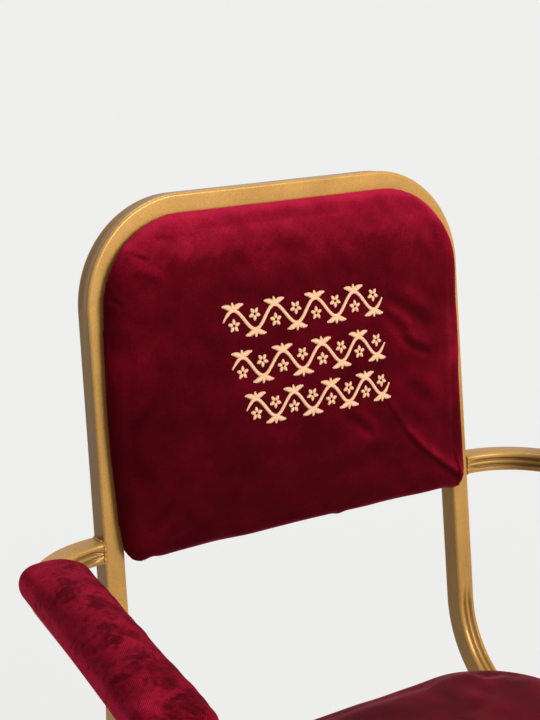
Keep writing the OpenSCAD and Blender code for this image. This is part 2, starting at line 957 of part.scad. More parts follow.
module seat_tee_nuts() {
    color(zinc)
        on_seat()
            at_seat_bolts()
                translate([0, 0, board_low])
                    tee_nut(seat_board_t);
}

// The arm pads lie on the arm tubes
module on_arm_pad() {
    on_arm()
        translate([-arm_pad_in, -arm_len / 2, 0])
            rotate([0, 0, arm_pad_turn])
                translate([0, arm_len / 2 + arm_pad_back - arm_pad_l / 2, 0])
                    children();
}
module arm_board() {
    screw_hole = screw_d + fit_gap;
    difference() {
        on_arm_pad()
            pad_board(arm_form(), arm_board_t);
        on_arm()
            for (s = arm_screw_s)
                translate([0, -s, 0])
                    cylinder(d = screw_hole, h = board_low + arm_board_t - bolt_short + fit_gap);
    }
}
module arm_board_right() {
    color(plywood)
        arm_board();
}
module arm_board_left() {
    color(plywood)
        left_side()
            arm_board();
}
module arm_foam_right() {
    color(foam_yellow)
        on_arm_pad()
            pad_foam(arm_form(), arm_board_t);
}
module arm_foam_left() {
    color(foam_yellow)
        left_side()
            on_arm_pad()
                pad_foam(arm_form(), arm_board_t);
}
module arm_pad_cover_right() {
    color(velvet)
        on_arm_pad()
            pad_cover(arm_form(), arm_hem_w);
}
module arm_pad_cover_left() {
    color(velvet)
        left_side()
            on_arm_pad()
                pad_cover(arm_form(), arm_hem_w);
}
module arm_screws() {
    on_arm()
        for (s = arm_screw_s)
            translate([0, -s, -tube_w - fit_gap / 2]) {
                cylinder(d = screw_d, h = tube_w + board_low + arm_board_t - bolt_short);
                translate([0, 0, -screw_head_h])
                    cylinder(d = screw_head_d, h = screw_head_h);
            }
}
module arm_pad_screws_right() {
    color(zinc)
        arm_screws();
}
module arm_pad_screws_left() {
    color(zinc)
        left_side()
            arm_screws();
}

back_tube();
seat_leg_tube_right();
seat_leg_tube_left();
joint_sleeves();
rear_leg_right();
rear_leg_left();
front_cross_rail();
rear_cross_rail();
foot_caps_front();
foot_caps_rear();
arm_tube_right();
arm_tube_left();
arm_post_right();
arm_post_left();
arm_end_plugs();
back_tabs();
back_board();
back_foam();
back_pad_cover();
back_bolts();
back_tee_nuts();
back_rear_panel();
seat_board();
seat_foam();
seat_cover();
seat_base_cloth();
seat_bolts();
seat_washers();
seat_tee_nuts();
arm_board_right();
arm_board_left();
arm_foam_right();
arm_foam_left();
arm_pad_cover_right();
arm_pad_cover_left();
arm_pad_screws_right();
arm_pad_screws_left();
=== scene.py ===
# Armchair for prayer rooms: a gold painted steel tube frame with velvet pads.
# The pieces follow in the order in which such a chair is put together.
import math

import bpy
import numpy as np
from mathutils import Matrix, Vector


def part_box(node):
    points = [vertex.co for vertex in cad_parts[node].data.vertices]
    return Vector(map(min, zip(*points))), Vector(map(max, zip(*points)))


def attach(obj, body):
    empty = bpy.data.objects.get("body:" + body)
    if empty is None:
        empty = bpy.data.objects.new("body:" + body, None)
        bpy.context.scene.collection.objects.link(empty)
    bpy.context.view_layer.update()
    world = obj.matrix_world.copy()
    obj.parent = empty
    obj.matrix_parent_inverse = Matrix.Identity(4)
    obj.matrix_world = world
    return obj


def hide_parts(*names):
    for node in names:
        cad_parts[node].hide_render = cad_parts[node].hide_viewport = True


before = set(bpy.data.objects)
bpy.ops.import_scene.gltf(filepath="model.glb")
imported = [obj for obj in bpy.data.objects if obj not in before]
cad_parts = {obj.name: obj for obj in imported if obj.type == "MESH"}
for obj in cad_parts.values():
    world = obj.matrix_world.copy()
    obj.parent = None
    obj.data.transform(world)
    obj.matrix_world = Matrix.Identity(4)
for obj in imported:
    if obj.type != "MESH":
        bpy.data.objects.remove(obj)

scene = bpy.context.scene
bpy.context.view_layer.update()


# The room: a pale floor under soft light, seen from the front left of the chair.
# The camera stands 1.27 m high, turned 34 degrees from straight ahead, and looks down 15.6 degrees.
def feed(tree, made, sockets):
    """Gives each of a node's sockets its value, or joins it to another node's output."""
    for name, value in sockets.items():
        if isinstance(value, bpy.types.NodeSocket):
            tree.links.new(value, made.inputs[name])
        else:
            made.inputs[name].default_value = value


def node(tree, kind, sockets=None, **settings):
    """One shader node, with its settings and what its sockets get."""
    made = tree.nodes.new("ShaderNode" + kind)
    for name, value in settings.items():
        setattr(made, name, value)
    feed(tree, made, sockets or {})
    return made


def new_material(name):
    """A material, its node tree, its Principled shader and the place on the object."""
    made = bpy.data.materials.new(name)
    made.use_nodes = True
    tree = made.node_tree
    return made, tree, tree.nodes["Principled BSDF"], node(tree, "TexCoord").outputs["Object"]


def arithmetic(tree, operation, *values):
    """The result of one operation on its values."""
    return node(tree, "Math", dict(enumerate(values)), operation=operation).outputs["Value"]


def ranged(tree, value, from_low, from_high, to_low, to_high, **settings):
    """A value carried from one range to another."""
    sockets = {"Value": value, "From Min": from_low, "From Max": from_high,
               "To Min": to_low, "To Max": to_high}
    return node(tree, "MapRange", sockets, **settings).outputs["Result"]


def noise(tree, place, scale, detail, roughness=0.5):
    """A cloudy pattern, 0 to 1, with finer layers on it."""
    sockets = {"Vector": place, "Scale": scale, "Detail": detail, "Roughness": roughness}
    return node(tree, "TexNoise", sockets).outputs["Fac"]


def tones(tree, value, *stops):
    """Colour by a value, blended between stops, each a value and its colour."""
    made = node(tree, "ValToRGB", {"Fac": value})
    marks = made.color_ramp.elements
    for mark, (at, colour) in zip(marks, (stops[0], stops[-1])):
        mark.position, mark.color = at, (*colour, 1)
    for at, colour in stops[1:-1]:
        marks.new(at).color = (*colour, 1)
    return made.outputs["Color"]


def seen_directly(tree):
    """1 for what the camera sees straight on, in a reflection or through glass, else 0."""
    rays = node(tree, "LightPath").outputs
    straight = arithmetic(tree, "MAXIMUM", rays["Is Camera Ray"], rays["Is Glossy Ray"])
    return arithmetic(tree, "MAXIMUM", straight, rays["Is Transmission Ray"])


floor_material, tree, shader, place = new_material("pale floor")
dust = tones(tree, noise(tree, place, 3.0, 2.0), (0.0, (0.84, 0.84, 0.83)), (1.0, (0.86, 0.86, 0.85)))
feed(tree, shader, {"Base Color": dust, "Roughness": 0.9, "Specular IOR Level": 0.1})
pale = (0.864, 0.864, 0.855, 1)
glow = node(tree, "Emission", {"Color": pale}).outputs["Emission"]
from_chair = node(tree, "VectorMath", {0: place}, operation="LENGTH").outputs["Value"]
glow_round = ranged(tree, from_chair, 0.5, 2.6, 0.88, 1.0, interpolation_type="SMOOTHSTEP")
glow_share = arithmetic(tree, "MULTIPLY", seen_directly(tree), glow_round)
floor_mix = node(tree, "MixShader", {"Fac": glow_share, 1: shader.outputs["BSDF"], 2: glow})
feed(tree, tree.nodes["Material Output"], {"Surface": floor_mix.outputs["Shader"]})


def add_piece(name, points, faces, material):
    """An object at the origin whose mesh has these points (n, 3) and faces (lists of numbers)."""
    mesh = bpy.data.meshes.new(name)
    mesh.from_pydata(np.asarray(points, float).tolist(), [], faces)
    mesh.polygons.foreach_set("use_smooth", np.ones(len(mesh.polygons), bool))
    mesh.materials.append(material)
    mesh.update()
    made = bpy.data.objects.new(name, mesh)
    scene.collection.objects.link(made)
    return made


floor_half = 12.0
floor_corners = floor_half * np.array([(-1, -1, 0), (1, -1, 0), (1, 1, 0), (-1, 1, 0)])
add_piece("room_floor", floor_corners, [[0, 1, 2, 3]], floor_material)

world = bpy.data.worlds.new("room light")
world.use_nodes = True
scene.world = world
sky = world.node_tree
lit = sky.nodes["Background"]
feed(sky, lit, {"Color": (1.0, 0.99, 0.975, 1), "Strength": 0.30})
seen = node(sky, "Background", {"Color": pale, "Strength": 1.0}).outputs["Background"]
both = node(sky, "MixShader", {"Fac": seen_directly(sky), 1: lit.outputs["Background"], 2: seen})
feed(sky, sky.nodes["World Output"], {"Surface": both.outputs["Shader"]})


def soft_lamp(name, place, aim, size, watts):
    """A square lamp at a place, facing another."""
    lamp = bpy.data.lights.new(name, "AREA")
    lamp.size = size
    lamp.energy = watts
    made = bpy.data.objects.new(name, lamp)
    made.location = place
    made.rotation_euler = (Vector(aim) - Vector(place)).to_track_quat("-Z", "Y").to_euler()
    scene.collection.objects.link(made)


soft_lamp("window", place=(0.9, -2.6, 2.2), aim=(0, 0.1, 0.7), size=1.5, watts=108)
soft_lamp("ceiling", place=(0.1, 0.9, 2.9), aim=(0, 0.2, 0.8), size=1.2, watts=22)
soft_lamp("strip_left", place=(-2.1, -1.4, 1.9), aim=(-0.2, 0.1, 0.8), size=0.5, watts=4)

view_turn = math.radians(34.024)
view_drop = math.radians(15.59)
camera = bpy.data.objects.new("camera", bpy.data.cameras.new("camera"))
camera.data.sensor_width = 36
camera.data.lens = 80
camera.data.clip_start = 0.05
camera.location = (-0.9387, -1.0882, 1.2701)
look = Vector((math.sin(view_turn) * math.cos(view_drop), math.cos(view_turn) * math.cos(view_drop),
               -math.sin(view_drop)))
camera.rotation_euler = look.to_track_quat("-Z", "Y").to_euler()
scene.collection.objects.link(camera)
scene.camera = camera
scene.view_settings.view_transform = "Standard"


# The gold paint: a sprayed lacquer with fine metal flakes, satin, over every steel tube.
# It has a slight orange peel and a few dust specks, and the bent tubes carry painted shade on some flats and
# in their grooves, painted highlights along their edges and faint painted reflections.
def spots(tree, place, scale):
    """Distance to the nearest of many scattered points, in cells of the pattern."""
    return node(tree, "TexVoronoi", {"Vector": place, "Scale": scale}).outputs["Distance"]


def bumps(tree, height, strength, distance):
    """The surface's direction under a fine relief."""
    sockets = {"Height": height, "Strength": strength, "Distance": distance}
    return node(tree, "Bump", sockets).outputs["Normal"]


def dimmed(tree, colour, share):
    """A colour times a share."""
    return node(tree, "VectorMath", {"Vector": colour, "Scale": share}, operation="SCALE").outputs["Vector"]


gold, tree, shader, place = new_material("gold paint")
flakes = tones(tree, noise(tree, place, 1500.0, 1.0),
               (0.3, (0.370, 0.182, 0.038)), (0.72, (0.555, 0.312, 0.086)))
clouds = noise(tree, place, 14.0, 4.0, 0.6)
cloud_tone = ranged(tree, clouds, 0.3, 0.7, 0.90, 1.08)
speck_tone = ranged(tree, spots(tree, place, 190.0), 0.035, 0.07, 0.45, 1.0)
# each bent tube's painted light and shade scales the gold here
painted = arithmetic(tree, "ADD", node(tree, "Attribute", attribute_name="painted_light").outputs["Fac"], 1.0)
shade = arithmetic(tree, "MULTIPLY", arithmetic(tree, "MULTIPLY", cloud_tone, speck_tone), painted)
feed(tree, shader, {
    "Base Color": dimmed(tree, flakes, shade),
    "Roughness": ranged(tree, clouds, 0.35, 0.65, 0.30, 0.44),
    "Normal": bumps(tree, noise(tree, place, 420.0, 2.0), 0.10, 0.0004),
    "Metallic": 0.22, "Specular IOR Level": 0.15, "Coat Weight": 0.10, "Coat Roughness": 0.10})


def dress(nodes, material):
    """Gives a finish to pieces that are already there."""
    for name in nodes:
        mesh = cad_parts[name].data
        mesh.materials.clear()
        mesh.materials.append(material)


dress(["seat_leg_tube_right", "seat_leg_tube_left", "rear_leg_right", "rear_leg_left", "front_cross_rail",
       "rear_cross_rail", "arm_post_right", "arm_post_left", "back_tabs"], gold)


# The back tube: one 22 by 25 mm steel tube, bent over the top, down both sides and forward under the seat.
# The bending tool presses a channel with a round bead into the inside face of each bend, and the bend
# draws its outer wall in a little.
tube_w = 0.022
tube_d = 0.025
tube_edge = 0.0031
recline = math.radians(6.4)
spread = math.radians(0.75)
back_y = 0.283224
back_top = 1.0
hoop_x = 0.124235
hoop_r = 0.111
upright_len = 0.402943
bend_r = 0.110
bend_angle = math.pi / 2 - recline
rail_end = 0.030
channel_past_bend = 0.05  # the right bend's channel runs on into the seat rail
end_ring = 0.0004  # a last ring of points close to each end keeps the shading of the end face to itself
outer_flat, back_flat, inner_flat, front_flat = 0, 2, 4, 6
groove_depth, lip_height, draw_depth = 0.0027, 0.0004, 0.0009


def on_back(points):
    """The back's leaning plane: x across, y behind its front face, z up from its top, turned about X."""
    x, y, z = points[..., 0], points[..., 1], points[..., 2]
    return np.stack([x, back_y + y * math.cos(recline) + z * math.sin(recline),
                     back_top - y * math.sin(recline) + z * math.cos(recline)], -1)


def box_section(width, depth, edge):
    """Outline of a box tube: four flats, even parts, and four quarter circles, odd parts. Each point has
    its place across and behind, its part, and its place, -1 to 1, on each flat that may be pressed or
    drawn in."""
    fine = np.linspace(-1, 1, 41)
    plain = np.array([-1, -0.94, 0, 0.94, 1])
    a, b = width / 2 - edge, depth / 2 - edge
    turn = np.linspace(0, np.pi / 2, 7)[1:-1]
    parts = [
        (np.full_like(fine, width / 2), fine * b),
        (a + edge * np.cos(turn), b + edge * np.sin(turn)),
        (-plain * a, np.full_like(plain, depth / 2)),
        (-a - edge * np.sin(turn), b + edge * np.cos(turn)),
        (np.full_like(fine, -width / 2), -fine * b),
        (-a - edge * np.cos(turn), -b - edge * np.sin(turn)),
        (fine * a, np.full_like(fine, -depth / 2)),
        (a + edge * np.sin(turn), -b - edge * np.cos(turn)),
    ]
    elsewhere = 9.0
    section = {"across": np.concatenate([p[0] for p in parts]),
               "behind": np.concatenate([p[1] for p in parts]),
               "part": np.concatenate([np.full(len(p[0]), k) for k, p in enumerate(parts)])}
    for name, flat in (("outer", outer_flat), ("inner", inner_flat), ("front", front_flat)):
        section[name] = np.concatenate([fine if k == flat else np.full_like(p[0], elsewhere)
                                        for k, p in enumerate(parts)])
    return section


def along_bend(along, start, end, run):
    """1 along a bend and 0 away from it, easing over a run from 20 mm outside each of its ends."""
    outside = 0.020
    gate = np.clip((along - start + outside) / run, 0, 1) * np.clip((end + outside - along) / run, 0, 1)
    return (gate * gate * (3 - 2 * gate))[:, None]


def pressed(t, along, bends):
    """Depth of the channel: two grooves with a bead between and a raised lip at each side. It opens like a
    spoon over 26 mm at both ends, where the two grooves run together."""
    depth = np.zeros((len(along), len(t)))
    for start, end in bends:
        gate = along_bend(along, start, end, 0.026)
        groove = np.exp(-(((np.abs(t) - 0.46 * gate) / (0.13 + 0.08 * gate)) ** 2))
        lip = np.exp(-(((np.abs(t) - 0.84) / 0.09) ** 2))
        crinkle = 1 + 0.5 * np.sin(2 * np.pi * along / 0.0052)[:, None] * (t > 0)
        depth += gate * (groove_depth * groove - lip_height * lip * crinkle)
    return depth


def drawn_in(t, along, bends):
    """Depth by which a bend draws in its outer wall: (1 - t squared) squared times 0.9 mm, easing in over
    40 mm."""
    depth = np.zeros((len(along), len(t)))
    for start, end in bends:
        depth += draw_depth * along_bend(along, start, end, 0.040) * np.clip(1 - t * t, 0, 1) ** 2
    return depth


def reflection_streaks(along, columns, seed):
    """Long bands of painted reflection along a tube: for each place round its section, five slow sines of the
    length with phases that drift slowly from place to place."""
    rng = np.random.default_rng(seed)
    around = np.arange(columns)[None] / columns * 2 * np.pi
    field = np.zeros((len(along), columns))
    for k in range(5):
        turn, pace = rng.integers(2, 8), rng.uniform(8, 30)
        field += (np.sin(turn * around + rng.uniform(0, 6.3))
                  * np.sin(pace * along[:, None] + rng.uniform(0, 6.3) + 2 * np.sin(around)))
    return field / 2


def paint_light_and_shade(piece, along, parts, pressing, flats, seed, fade):
    """Painted light and shade about the even gold: painted shade on some flats, a painted highlight along its
    edges, painted shade in its grooves with the bead between them brighter, a painted highlight on the raised
    lips, and long faint bands of painted reflection. The flats' shade runs out within a length, fade, from
    both ends."""
    edge_highlight, groove_shade = 0.11, 0.42
    part = np.array(parts)[None] + 0 * along[:, None]
    # painted highlight along the rounded edges
    painted_light = np.where(part % 2 == 1, edge_highlight, 0.0)
    share = np.clip(np.minimum(along, along[-1] - along) / fade, 0, 1)[:, None]
    for number, shade in flats.items():
        painted_light = np.where(part == number, shade * share, painted_light)
    # faint bands of painted reflection
    painted_light = painted_light + reflection_streaks(along, len(parts), seed) * np.where(part % 2 == 0, 0.04, 0.01)
    # painted shade in the grooves and painted highlight on the raised lips
    painted_light = painted_light - np.clip(pressing / groove_depth, -0.3, 1) * groove_shade
    piece.data.attributes.new("painted_light", "FLOAT", "POINT").data.foreach_set("value", painted_light.ravel())


def grid_faces(rows, columns, first=0, ring=True, loop=False):
    """Four-sided faces of a grid of points, row after row. A ring joins the last column to the first, and a
    loop the last row to the first."""
    i = np.arange(rows if loop else rows - 1)[:, None]
    j = np.arange(columns if ring else columns - 1)[None, :]
    k, m = (i + 1) % rows, (j + 1) % columns
    corners = [i * columns + j, i * columns + m, k * columns + m, k * columns + j]
    return (first + np.stack(corners, -1).reshape(-1, 4)).tolist()


def tube_faces(rows, columns):
    """The grid's faces with both ends closed by one face each."""
    return ([list(range(columns))[::-1]] + grid_faces(rows, columns)
            + [list(range((rows - 1) * columns, rows * columns))])


def tube_points(middle, across, behind, section, press_inner, press_front):
    """Point (s, u) = middle(s) + a(u) across(s) + b(u) behind(s), pushed in on the pressed flats."""
    a, b = section["across"][None] + press_inner, section["behind"][None] + press_front
    return middle[:, None] + a[..., None] * across[:, None] + b[..., None] * behind[:, None]


def lengths(points):
    """Distance along a line of points."""
    return np.concatenate([[0], np.cumsum(np.linalg.norm(np.diff(points, axis=0), axis=1))])


def declare(piece, slot, *replaced):
    """Puts a piece on the root body and hides the CAD nodes that it replaces. Its slot is not used."""
    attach(piece, "root")
    if replaced:
        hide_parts(*replaced)


# The right half's middle line runs in the leaning plane, from the middle of the top to its rail's end.
corner = np.linspace(0, math.pi / 2 - spread, 44)
bend = np.linspace(0, bend_angle, 52)
top_x = np.linspace(0, hoop_x, 5)[:-1]
top_line = np.stack([top_x, 0 * top_x + tube_d / 2, 0 * top_x - tube_w / 2], -1)
corner_r = hoop_r - tube_w / 2
corner_line = np.stack([hoop_x + corner_r * np.sin(corner), 0 * corner + tube_d / 2,
                        -hoop_r + corner_r * np.cos(corner)], -1)
corner_out = np.stack([np.sin(corner), 0 * corner, np.cos(corner)], -1)
side_out = np.array([math.cos(spread), 0, math.sin(spread)])
side_up = np.array([-math.sin(spread), 0, math.cos(spread)])
rearward = np.array([0.0, 1.0, 0.0])
down = np.linspace(0, upright_len, 24)[1:-1, None]
side_line = corner_line[-1] - down * side_up
bend_r_mid = bend_r + tube_d / 2
bend_behind = np.cos(bend)[:, None] * rearward - np.sin(bend)[:, None] * side_up
bend_line = corner_line[-1] - upright_len * side_up - bend_r_mid * rearward + bend_r_mid * bend_behind
rail_way = -np.sin(bend_angle) * rearward - np.cos(bend_angle) * side_up
rail_line = bend_line[-1] + np.array([[0.012], [rail_end - end_ring], [rail_end]]) * rail_way
half_line = np.concatenate([top_line, corner_line, side_line, bend_line, rail_line])
half_across = np.concatenate([np.tile([0.0, 0, 1], (len(top_line), 1)), corner_out,
                              np.tile(side_out, (len(side_line) + len(bend_line) + len(rail_line), 1))])
half_behind = np.concatenate([np.tile(rearward, (len(top_line) + len(corner_line) + len(side_line), 1)),
                              bend_behind, np.tile(bend_behind[-1], (len(rail_line), 1))])
mirror_x = np.array([-1.0, 1, 1])
back_line, back_across, back_behind = [np.concatenate([half[:0:-1] * mirror_x, half])
                                       for half in (half_line, half_across, half_behind)]
along = lengths(back_line)
half_len = along[-1] / 2
corner_to = hoop_x + corner_r * (math.pi / 2 - spread)
bend_from = corner_to + upright_len
bend_to = bend_from + bend_r_mid * bend_angle
top_bends = [(half_len - corner_to, half_len - hoop_x), (half_len + hoop_x, half_len + corner_to)]
low_bends = [(half_len - bend_to, half_len - bend_from),
             (half_len + bend_from, half_len + bend_to + channel_past_bend)]
section = box_section(tube_w, tube_d, tube_edge)
press_corner = pressed(section["inner"], along, top_bends)
press_bend = pressed(section["front"], along, low_bends)
draw_corner = drawn_in(section["outer"], along, top_bends)
tube = tube_points(back_line, back_across, back_behind, section, press_corner - draw_corner, press_bend)
back_frame = add_piece("back_frame", on_back(tube).reshape(-1, 3), tube_faces(*tube.shape[:2]), gold)
# painted shade: the outer and inner side flats are darker
paint_light_and_shade(back_frame, along, section["part"], press_corner + press_bend,
           flats={outer_flat: -0.44, inner_flat: -0.30}, seed=1, fade=0.14)
declare(back_frame, "gold_paint", "back_tube")


# The arm tubes: the same tube, welded end-on to the uprights' outer sides, bent forward and splayed.
# A bead of weld runs round each joint under the paint.
arm_x = 0.238697
arm_turn_y = 0.153810
arm_top = 0.661
arm_r = 0.1025
arm_splay = math.radians(8.4)
arm_len = 0.313
arm_turn = np.linspace(math.pi / 2, arm_splay, 48)
arm_centre = np.array([arm_x, arm_turn_y, arm_top - tube_w / 2])
arm_out = np.stack([np.cos(arm_turn), np.sin(arm_turn), 0 * arm_turn], -1)
arm_way = np.array([math.sin(arm_splay), -math.cos(arm_splay), 0])
arm_rest = np.append(np.linspace(0, arm_len, 18)[1:-1], [arm_len - end_ring, arm_len])[:, None]
arm_line = np.concatenate([arm_centre + arm_r * arm_out,
                           arm_centre + arm_r * arm_out[-1] + arm_rest * arm_way])
arm_across = np.concatenate([arm_out, np.tile(arm_out[-1], (len(arm_rest), 1))])
arm_behind = np.tile([0.0, 0, 1], (len(arm_line), 1))
arm_section = box_section(tube_d, tube_w, tube_edge)
arm_along = lengths(arm_line)
arm_bend = [(0.012, arm_r * (math.pi / 2 - arm_splay) + 0.006)]  # from past the weld to just past the bend
arm_press = pressed(arm_section["inner"], arm_along, arm_bend)
arm_draw = drawn_in(arm_section["outer"], arm_along, arm_bend)
arm_points = tube_points(arm_line, arm_across, arm_behind, arm_section, arm_press - arm_draw, 0 * arm_press)
# painted shade on an arm tube's outer, top and inner flats
arm_flat_shades = {outer_flat: -0.46, back_flat: -0.09, inner_flat: -0.16}  # an arm's back flat is its top
weld_round = np.linspace(0, 2 * np.pi, 13)[:-1]
weld_r = 0.0014


def weld_points(count=150):
    """A ring of weld round the tube's section: a small circle carried along the outline, whose radius
    swells and shrinks with the weld's drops."""
    a, b = arm_section["across"], arm_section["behind"]
    ring = np.concatenate([[0], np.cumsum(np.hypot(np.diff(a), np.diff(b)))])
    s = np.linspace(0, ring[-1] + np.hypot(a[0] - a[-1], b[0] - b[-1]), count, endpoint=False)
    ca, cb = np.interp(s, ring, a), np.interp(s, ring, b)
    size = weld_r * (1 + 0.30 * np.sin(2 * np.pi * s / 0.0047) + 0.28 * np.sin(2 * np.pi * s / 0.0113 + 1))
    far = np.hypot(ca, cb)
    out_y, out_z = ca / far, cb / far
    lift, slide = size[:, None] * np.cos(weld_round), size[:, None] * np.sin(weld_round)
    return np.stack([arm_x + 0.0003 + slide * 0.9,
                     arm_centre[1] + arm_r + ca[:, None] + lift * out_y[:, None],
                     arm_centre[2] + cb[:, None] + lift * out_z[:, None]], -1)


def flipped(faces):
    """The same faces, turned to look the other way."""
    return [f[::-1] for f in faces]


weld = weld_points()
arm_faces = tube_faces(*arm_points.shape[:2])
weld_faces = grid_faces(*weld.shape[:2], loop=True)
for side, sign in (("right", 1), ("left", -1)):
    turned = list if sign > 0 else flipped
    arm = add_piece("arm_rail_" + side, arm_points.reshape(-1, 3) * (sign, 1, 1), turned(arm_faces), gold)
    bead = add_piece("arm_weld_" + side, weld.reshape(-1, 3) * (sign, 1, 1), turned(weld_faces), gold)
    paint_light_and_shade(arm, arm_along, arm_section["part"], arm_press, flats=arm_flat_shades, seed=2, fade=0.001)
    declare(arm, "gold_paint", "arm_tube_" + side)
    declare(bead, "gold_paint")


# Foot caps and arm plugs: moulded black plastic. The caps go over the ends of the legs, and the plugs go
# into the front ends of the arm tubes. They have a fine spark texture and pale scuffs.
plastic, tree, shader, place = new_material("black plastic")
scuffs = noise(tree, place, 60.0, 5.0, 0.7)
feed(tree, shader, {
    "Base Color": tones(tree, scuffs, (0.45, (0.010, 0.010, 0.011)), (0.75, (0.045, 0.043, 0.040))),
    "Roughness": ranged(tree, scuffs, 0.4, 0.7, 0.42, 0.62),
    "Normal": bumps(tree, noise(tree, place, 1800.0, 2.0), 0.25, 0.0002)})
dress(["foot_caps_front", "foot_caps_rear", "arm_end_plugs"], plastic)


# Fixings and the sleeves inside the butt joints: bolts, washers, tee nuts, screws and short bars of steel.
# Their zinc plate is bright, with a faint yellow-blue cast.
zinc, tree, shader, place = new_material("zinc plate")
feed(tree, shader, {
    "Base Color": tones(tree, spots(tree, place, 500.0),
                        (0.0, (0.50, 0.52, 0.56)), (1.0, (0.66, 0.65, 0.60))),
    "Roughness": ranged(tree, noise(tree, place, 900.0, 3.0), 0.0, 1.0, 0.28, 0.46),
    "Metallic": 1.0})
dress(["joint_sleeves", "back_bolts", "back_tee_nuts", "seat_bolts", "seat_washers", "seat_tee_nuts",
       "arm_pad_screws_right", "arm_pad_screws_left"], zinc)


# The boards inside the pads: birch plywood, sawn to shape and sanded.
# The long grain of their faces runs from side to side.
plywood, tree, shader, place = new_material("plywood")
drawn_out = node(tree, "Mapping", {"Vector": place, "Scale": (6.0, 90.0, 90.0)}).outputs["Vector"]
grain = noise(tree, drawn_out, 3.0, 6.0, 0.65)
feed(tree, shader, {
    "Base Color": tones(tree, grain, (0.3, (0.42, 0.25, 0.11)), (0.7, (0.66, 0.46, 0.25))),
    "Roughness": 0.6, "Normal": bumps(tree, grain, 0.2, 0.0004)})
dress(["back_board", "seat_board", "arm_board_right", "arm_board_left"], plywood)


# The velvet: wine red, with a short dense pile that lies in patches and shows light at its edges.
# Each pad carries its own nap with painted light and shade, from 0, brushed away or in painted shade, dark,
# to 1, brushed up or in painted light, bright.
def bands(tree, place, scale, distortion, detail_scale=1.0):
    """Even bands, 0 to 1, across X, that waver a little."""
    sockets = {"Vector": place, "Scale": scale, "Distortion": distortion, "Detail": 1.0,
               "Detail Scale": detail_scale}
    return node(tree, "TexWave", sockets, wave_type="BANDS", bands_direction="X").outputs["Fac"]


def velvet_material(name, rib=0.0, rib_turn=0.0, fuzz_tint=(0.80, 0.05, 0.12, 1)):
    """Wine red pile: colour from the pad's nap and its painted light and shade, with a fine mottling, a soft
    fuzz and, on the arm pads, the ribs of its knitted ground, which run a little aslant and turn down with
    the cloth at its sides."""
    made, tree, shader, place = new_material(name)
    # the pad's nap together with its painted light and shade
    shade = node(tree, "Attribute", attribute_name="nap_and_light").outputs["Fac"]
    height = noise(tree, place, 2600.0, 2.0, 0.7)
    layers = [(noise(tree, place, 95.0, 4.0, 0.65), 0.20), (noise(tree, place, 780.0, 2.0, 0.7), 0.46)]
    if rib:
        cloth_place = node(tree, "Attribute", attribute_name="cloth place").outputs["Vector"]
        aslant = node(tree, "Mapping", {"Vector": cloth_place, "Rotation": (0, 0, rib_turn)})
        ribs = bands(tree, aslant.outputs["Vector"], rib, 0.25, 0.4)
        height = arithmetic(tree, "MULTIPLY_ADD", ribs, 0.9, height)
        layers.append((ribs, 0.13))
    for layer, share in layers:
        shade = arithmetic(tree, "MULTIPLY_ADD", arithmetic(tree, "SUBTRACT", layer, 0.5), share, shade)
    pile = tones(tree, shade, (0.0, (0.026, 0.0004, 0.0014)), (0.3, (0.054, 0.0007, 0.0030)),
                 (0.5, (0.098, 0.0013, 0.0058)), (0.75, (0.215, 0.0042, 0.0165)),
                 (1.0, (0.400, 0.0110, 0.0380)))
    lint = ranged(tree, spots(tree, place, 160.0), 0.02, 0.05, 0.26, 0.0)
    dusted = node(tree, "Mix", {"Factor": lint, "A": pile, "B": (0.42, 0.16, 0.17, 1)}, data_type="RGBA")
    feed(tree, shader, {
        "Base Color": dusted.outputs["Result"], "Normal": bumps(tree, height, 0.35, 0.0005),
        "Roughness": 0.85, "Specular IOR Level": 0.02,
        "Sheen Weight": 0.42, "Sheen Roughness": 0.36, "Sheen Tint": fuzz_tint})
    return made


velvet = velvet_material("velvet")


# The back pad: foam on a plywood board under velvet that is pulled round the edge and stapled behind.
# The cover laps over itself at the lower right corner, and slack wrinkles run up from there.
def cloud(points, seed, size, waves=24):
    """A smooth random field about 0 with patches of a given size: a sum of plane waves of random direction
    and phase, with wavelengths spread round twice the size."""
    rng = np.random.default_rng(seed)
    way = rng.normal(size=(waves, 3))
    way /= np.linalg.norm(way, axis=1)[:, None]
    pace = 2 * np.pi / (2 * size * rng.uniform(0.6, 1.7, waves))
    phases = points @ (way * pace[:, None]).T + rng.uniform(0, 2 * np.pi, waves)
    return np.sin(phases).sum(1) / math.sqrt(waves / 2)


def ease(x, low, high):
    """From 0 at low to 1 at high, with a soft start and end."""
    t = np.clip((x - low) / (high - low), 0, 1)
    return t * t * (3 - 2 * t)


def bell(x, middle, width):
    """1 at the middle, falling off to both sides as exp of minus the distance in widths squared."""
    return np.exp(-(((x - middle) / width) ** 2))


def round_outline(half_w, half_h, r_far, r_near, pulls, steps=13):
    """A pad's outline, counterclockwise from its right side: four quarter circles joined by sides that are
    drawn in by a sine, each by its own pull: far, left, near, right."""
    q = np.linspace(0, np.pi / 2, steps)
    corners = [(half_w - r_far, half_h - r_far, r_far, 0),
               (-half_w + r_far, half_h - r_far, r_far, 1),
               (-half_w + r_near, -half_h + r_near, r_near, 2),
               (half_w - r_near, -half_h + r_near, r_near, 3)]
    arcs = [np.stack([x + r * np.cos(q + k * np.pi / 2), y + r * np.sin(q + k * np.pi / 2)], -1)
            for x, y, r, k in corners]
    line = []
    for k in range(4):
        a, b = arcs[k][-1], arcs[(k + 1) % 4][0]
        t = np.linspace(0, 1, 16)[1:-1, None]
        d = b - a
        n = np.array([-d[1], d[0]]) / np.linalg.norm(d)
        line += [arcs[k], a + d * t + n * pulls[k] * np.sin(np.pi * t)]
    return np.concatenate(line)


